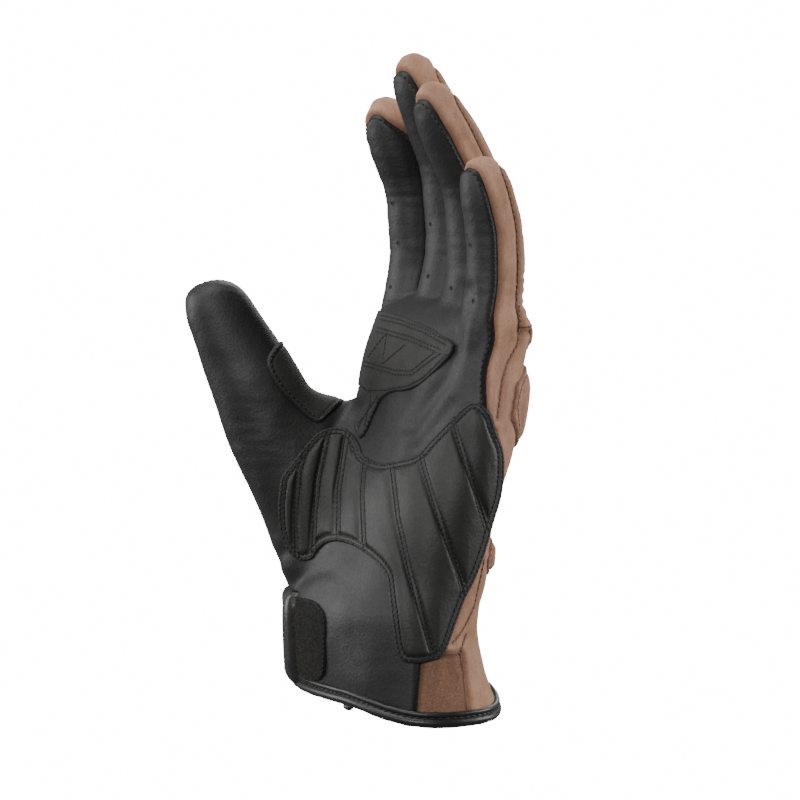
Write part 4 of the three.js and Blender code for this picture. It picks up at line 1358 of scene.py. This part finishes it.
# Hem: a strip of thin black cowhide rolled twice round the edge of the cuff, and stitched in the groove
# between the two rolls. The profile is its outline in section: out of the cuff, and up.
# Skived thin and finished to a satin: highlights run along the rolls.
hem_cowhide = leather("hem_cowhide_satin", "131313", "242424", 0.38, 0.8, 0.15)
hem_profile = rounded([
    (-2.3, 2.0), (-2.5, 0.0), (-2.3, -1.8), (-1.3, -2.9), (0.3, -3.05), (1.6, -2.4), (2.15, -1.1), (1.8, 0.0),
    (0.75, 0.7), (1.25, 1.2), (1.55, 1.9), (1.3, 2.6), (0.6, 2.95), (0.0, 2.7), (-0.6, 2.2), (-1.6, 2.3),
], 1)
hem_steps, hem_groove = 300, (0.85, 0.75)
hem_turns = np.linspace(0, 2 * np.pi, hem_steps, endpoint=False)


def round_cuff(out, up):
    """A line of points round the cuff, this far out of it and above the middle of the hem."""
    ring = hand_point(np.zeros(hem_steps), hem_turns, out + growth)
    ring[:, 2] = hem_middle(ring[:, 0]) + up
    return ring


rings = []
for out, up in hem_profile:
    ripple = np.array([noise.noise(Vector((math.cos(t) * 9, math.sin(t) * 9, up))) for t in hem_turns])
    rings.append(round_cuff(out, up * (1 + 0.06 * ripple)))
on, after = np.arange(hem_steps), np.roll(np.arange(hem_steps), -1)
faces = np.concatenate([
    np.stack([low + on, high + on, high + after, low + after], 1)
    for low, high in ((j * hem_steps, (j + 1) % len(rings) * hem_steps) for j in range(len(rings)))
])
hem_mesh = new_mesh("hem_binding", np.concatenate(rings), faces, [hem_cowhide])
hem_mesh.shade_smooth()
placed("hem_binding", hem_mesh, True)
groove = round_cuff(*hem_groove)
outward = hand_point(np.zeros(hem_steps), hem_turns, hem_groove[0] + 2 + growth)
outward -= hand_point(np.zeros(hem_steps), hem_turns, hem_groove[0] + growth)
hem_row = np.hstack([groove, outward])
hem_row = np.vstack([hem_row, hem_row[:1]])
stitches("hem_stitches", [hem_row], black_thread, thick=0.34, pitch=2.6, lift=0.1)

# Pull nub: the end of a small loop of the same thin cowhide, folded and sewn into the hem. It shows as a
# rounded end under the hem, a little to the thumb side.
nub_half, nub_deep, nub_high, nub_sag = 2.7, 1.4, 1.3, 0.4
nub_at = hand_point(0.0, math.radians(12), growth - 0.4)[0]
nub_at[2] = hem_middle(nub_at[0]) - 3.3
nub_turns = np.linspace(0, 2 * np.pi, 16, endpoint=False)
nub_rings = []
for s in np.linspace(-1, 1, 13):
    r = math.sqrt(max(1 - abs(s) ** 3, 0.02))
    nub_rings.append(nub_at + np.stack([
        np.full(16, s * nub_half), nub_deep * r * np.cos(nub_turns),
        nub_high * r * np.sin(nub_turns) - nub_sag * (1 - s * s),
    ], axis=1))
nub_mesh = new_mesh("pull_nub", *tube(nub_rings), [hem_cowhide])
nub_mesh.shade_smooth()
placed("pull_nub", nub_mesh, True)

# Light: a studio that is white behind the glove and grey all round it, with a large soft box at the left
# and smaller ones in front, behind its edge, above, at the right and behind.
studio_white = {"Color": (1, 1, 1, 1), "Strength": 16}
world = bpy.data.worlds.new("studio")
world.use_nodes = True
sky = world.node_tree
around = sky.nodes["Background"]
around.inputs["Color"].default_value = (1, 1, 1, 1)
around.inputs["Strength"].default_value = 0.26
both = add(sky, "ShaderNodeMixShader", {
    0: add(sky, "ShaderNodeLightPath").outputs["Is Camera Ray"], 1: around.outputs[0],
    2: add(sky, "ShaderNodeBackground", studio_white).outputs[0],
})
sky.links.new(both.outputs[0], sky.nodes["World Output"].inputs["Surface"])
bpy.context.scene.world = world

# Each soft box: metres to the right of the glove, above it and towards the camera, its side in metres, and
# its power in watts. It is turned towards the glove.
for name, side, up, near, size, power in [
    ("light_left", -1.2, 0.75, 0.45, 1.1, 7), ("light_front", -0.45, 0.35, 1.2, 0.5, 11),
    ("light_edge", -1.4, 0.25, -0.3, 0.9, 14), ("light_over", -0.4, 1.3, 0.0, 0.8, 13),
    ("light_right", 1.35, 0.3, -0.1, 0.9, 22), ("light_back", 0.3, 0.8, -1.2, 0.9, 8),
]:
    place = Vector(right_hand * side + np.array([0, 0, up]) + to_camera * near)
    lamp = bpy.data.objects.new(name, bpy.data.lights.new(name, "AREA"))
    lamp.data.shape = "SQUARE"
    lamp.data.size = size
    lamp.data.energy = power
    lamp.location = Vector(aim / 1000) + place
    lamp.rotation_euler = place.to_track_quat("Z", "Y").to_euler()
    bpy.context.scene.collection.objects.link(lamp)

# Floor: plain white paper below the hem, as bright as the wall behind the glove, so that no line shows
# between them. It belongs to the studio and throws neither light nor shadow on the glove.
floor_half, floor_height = 1500, -45
# Matt paper, lit until it is as white as the wall.
lit_paper = bpy.data.materials.new("lit_white_paper")
lit_paper.use_nodes = True
lit_paper.node_tree.nodes.clear()
glow = add(lit_paper.node_tree, "ShaderNodeEmission", studio_white)
add(lit_paper.node_tree, "ShaderNodeOutputMaterial", {"Surface": glow.outputs[0]})
paper_corners = [(floor_half * across, floor_half * deep, floor_height) for across, deep in (
    (-1, -1), (1, -1), (1, 1), (-1, 1),
)]
paper = new_mesh("paper_floor", paper_corners, [(0, 1, 2, 3)], [lit_paper])
paper_floor = bpy.data.objects.new("paper_floor", paper)
paper_floor.visible_diffuse = paper_floor.visible_glossy = paper_floor.visible_shadow = False
bpy.context.scene.collection.objects.link(paper_floor)
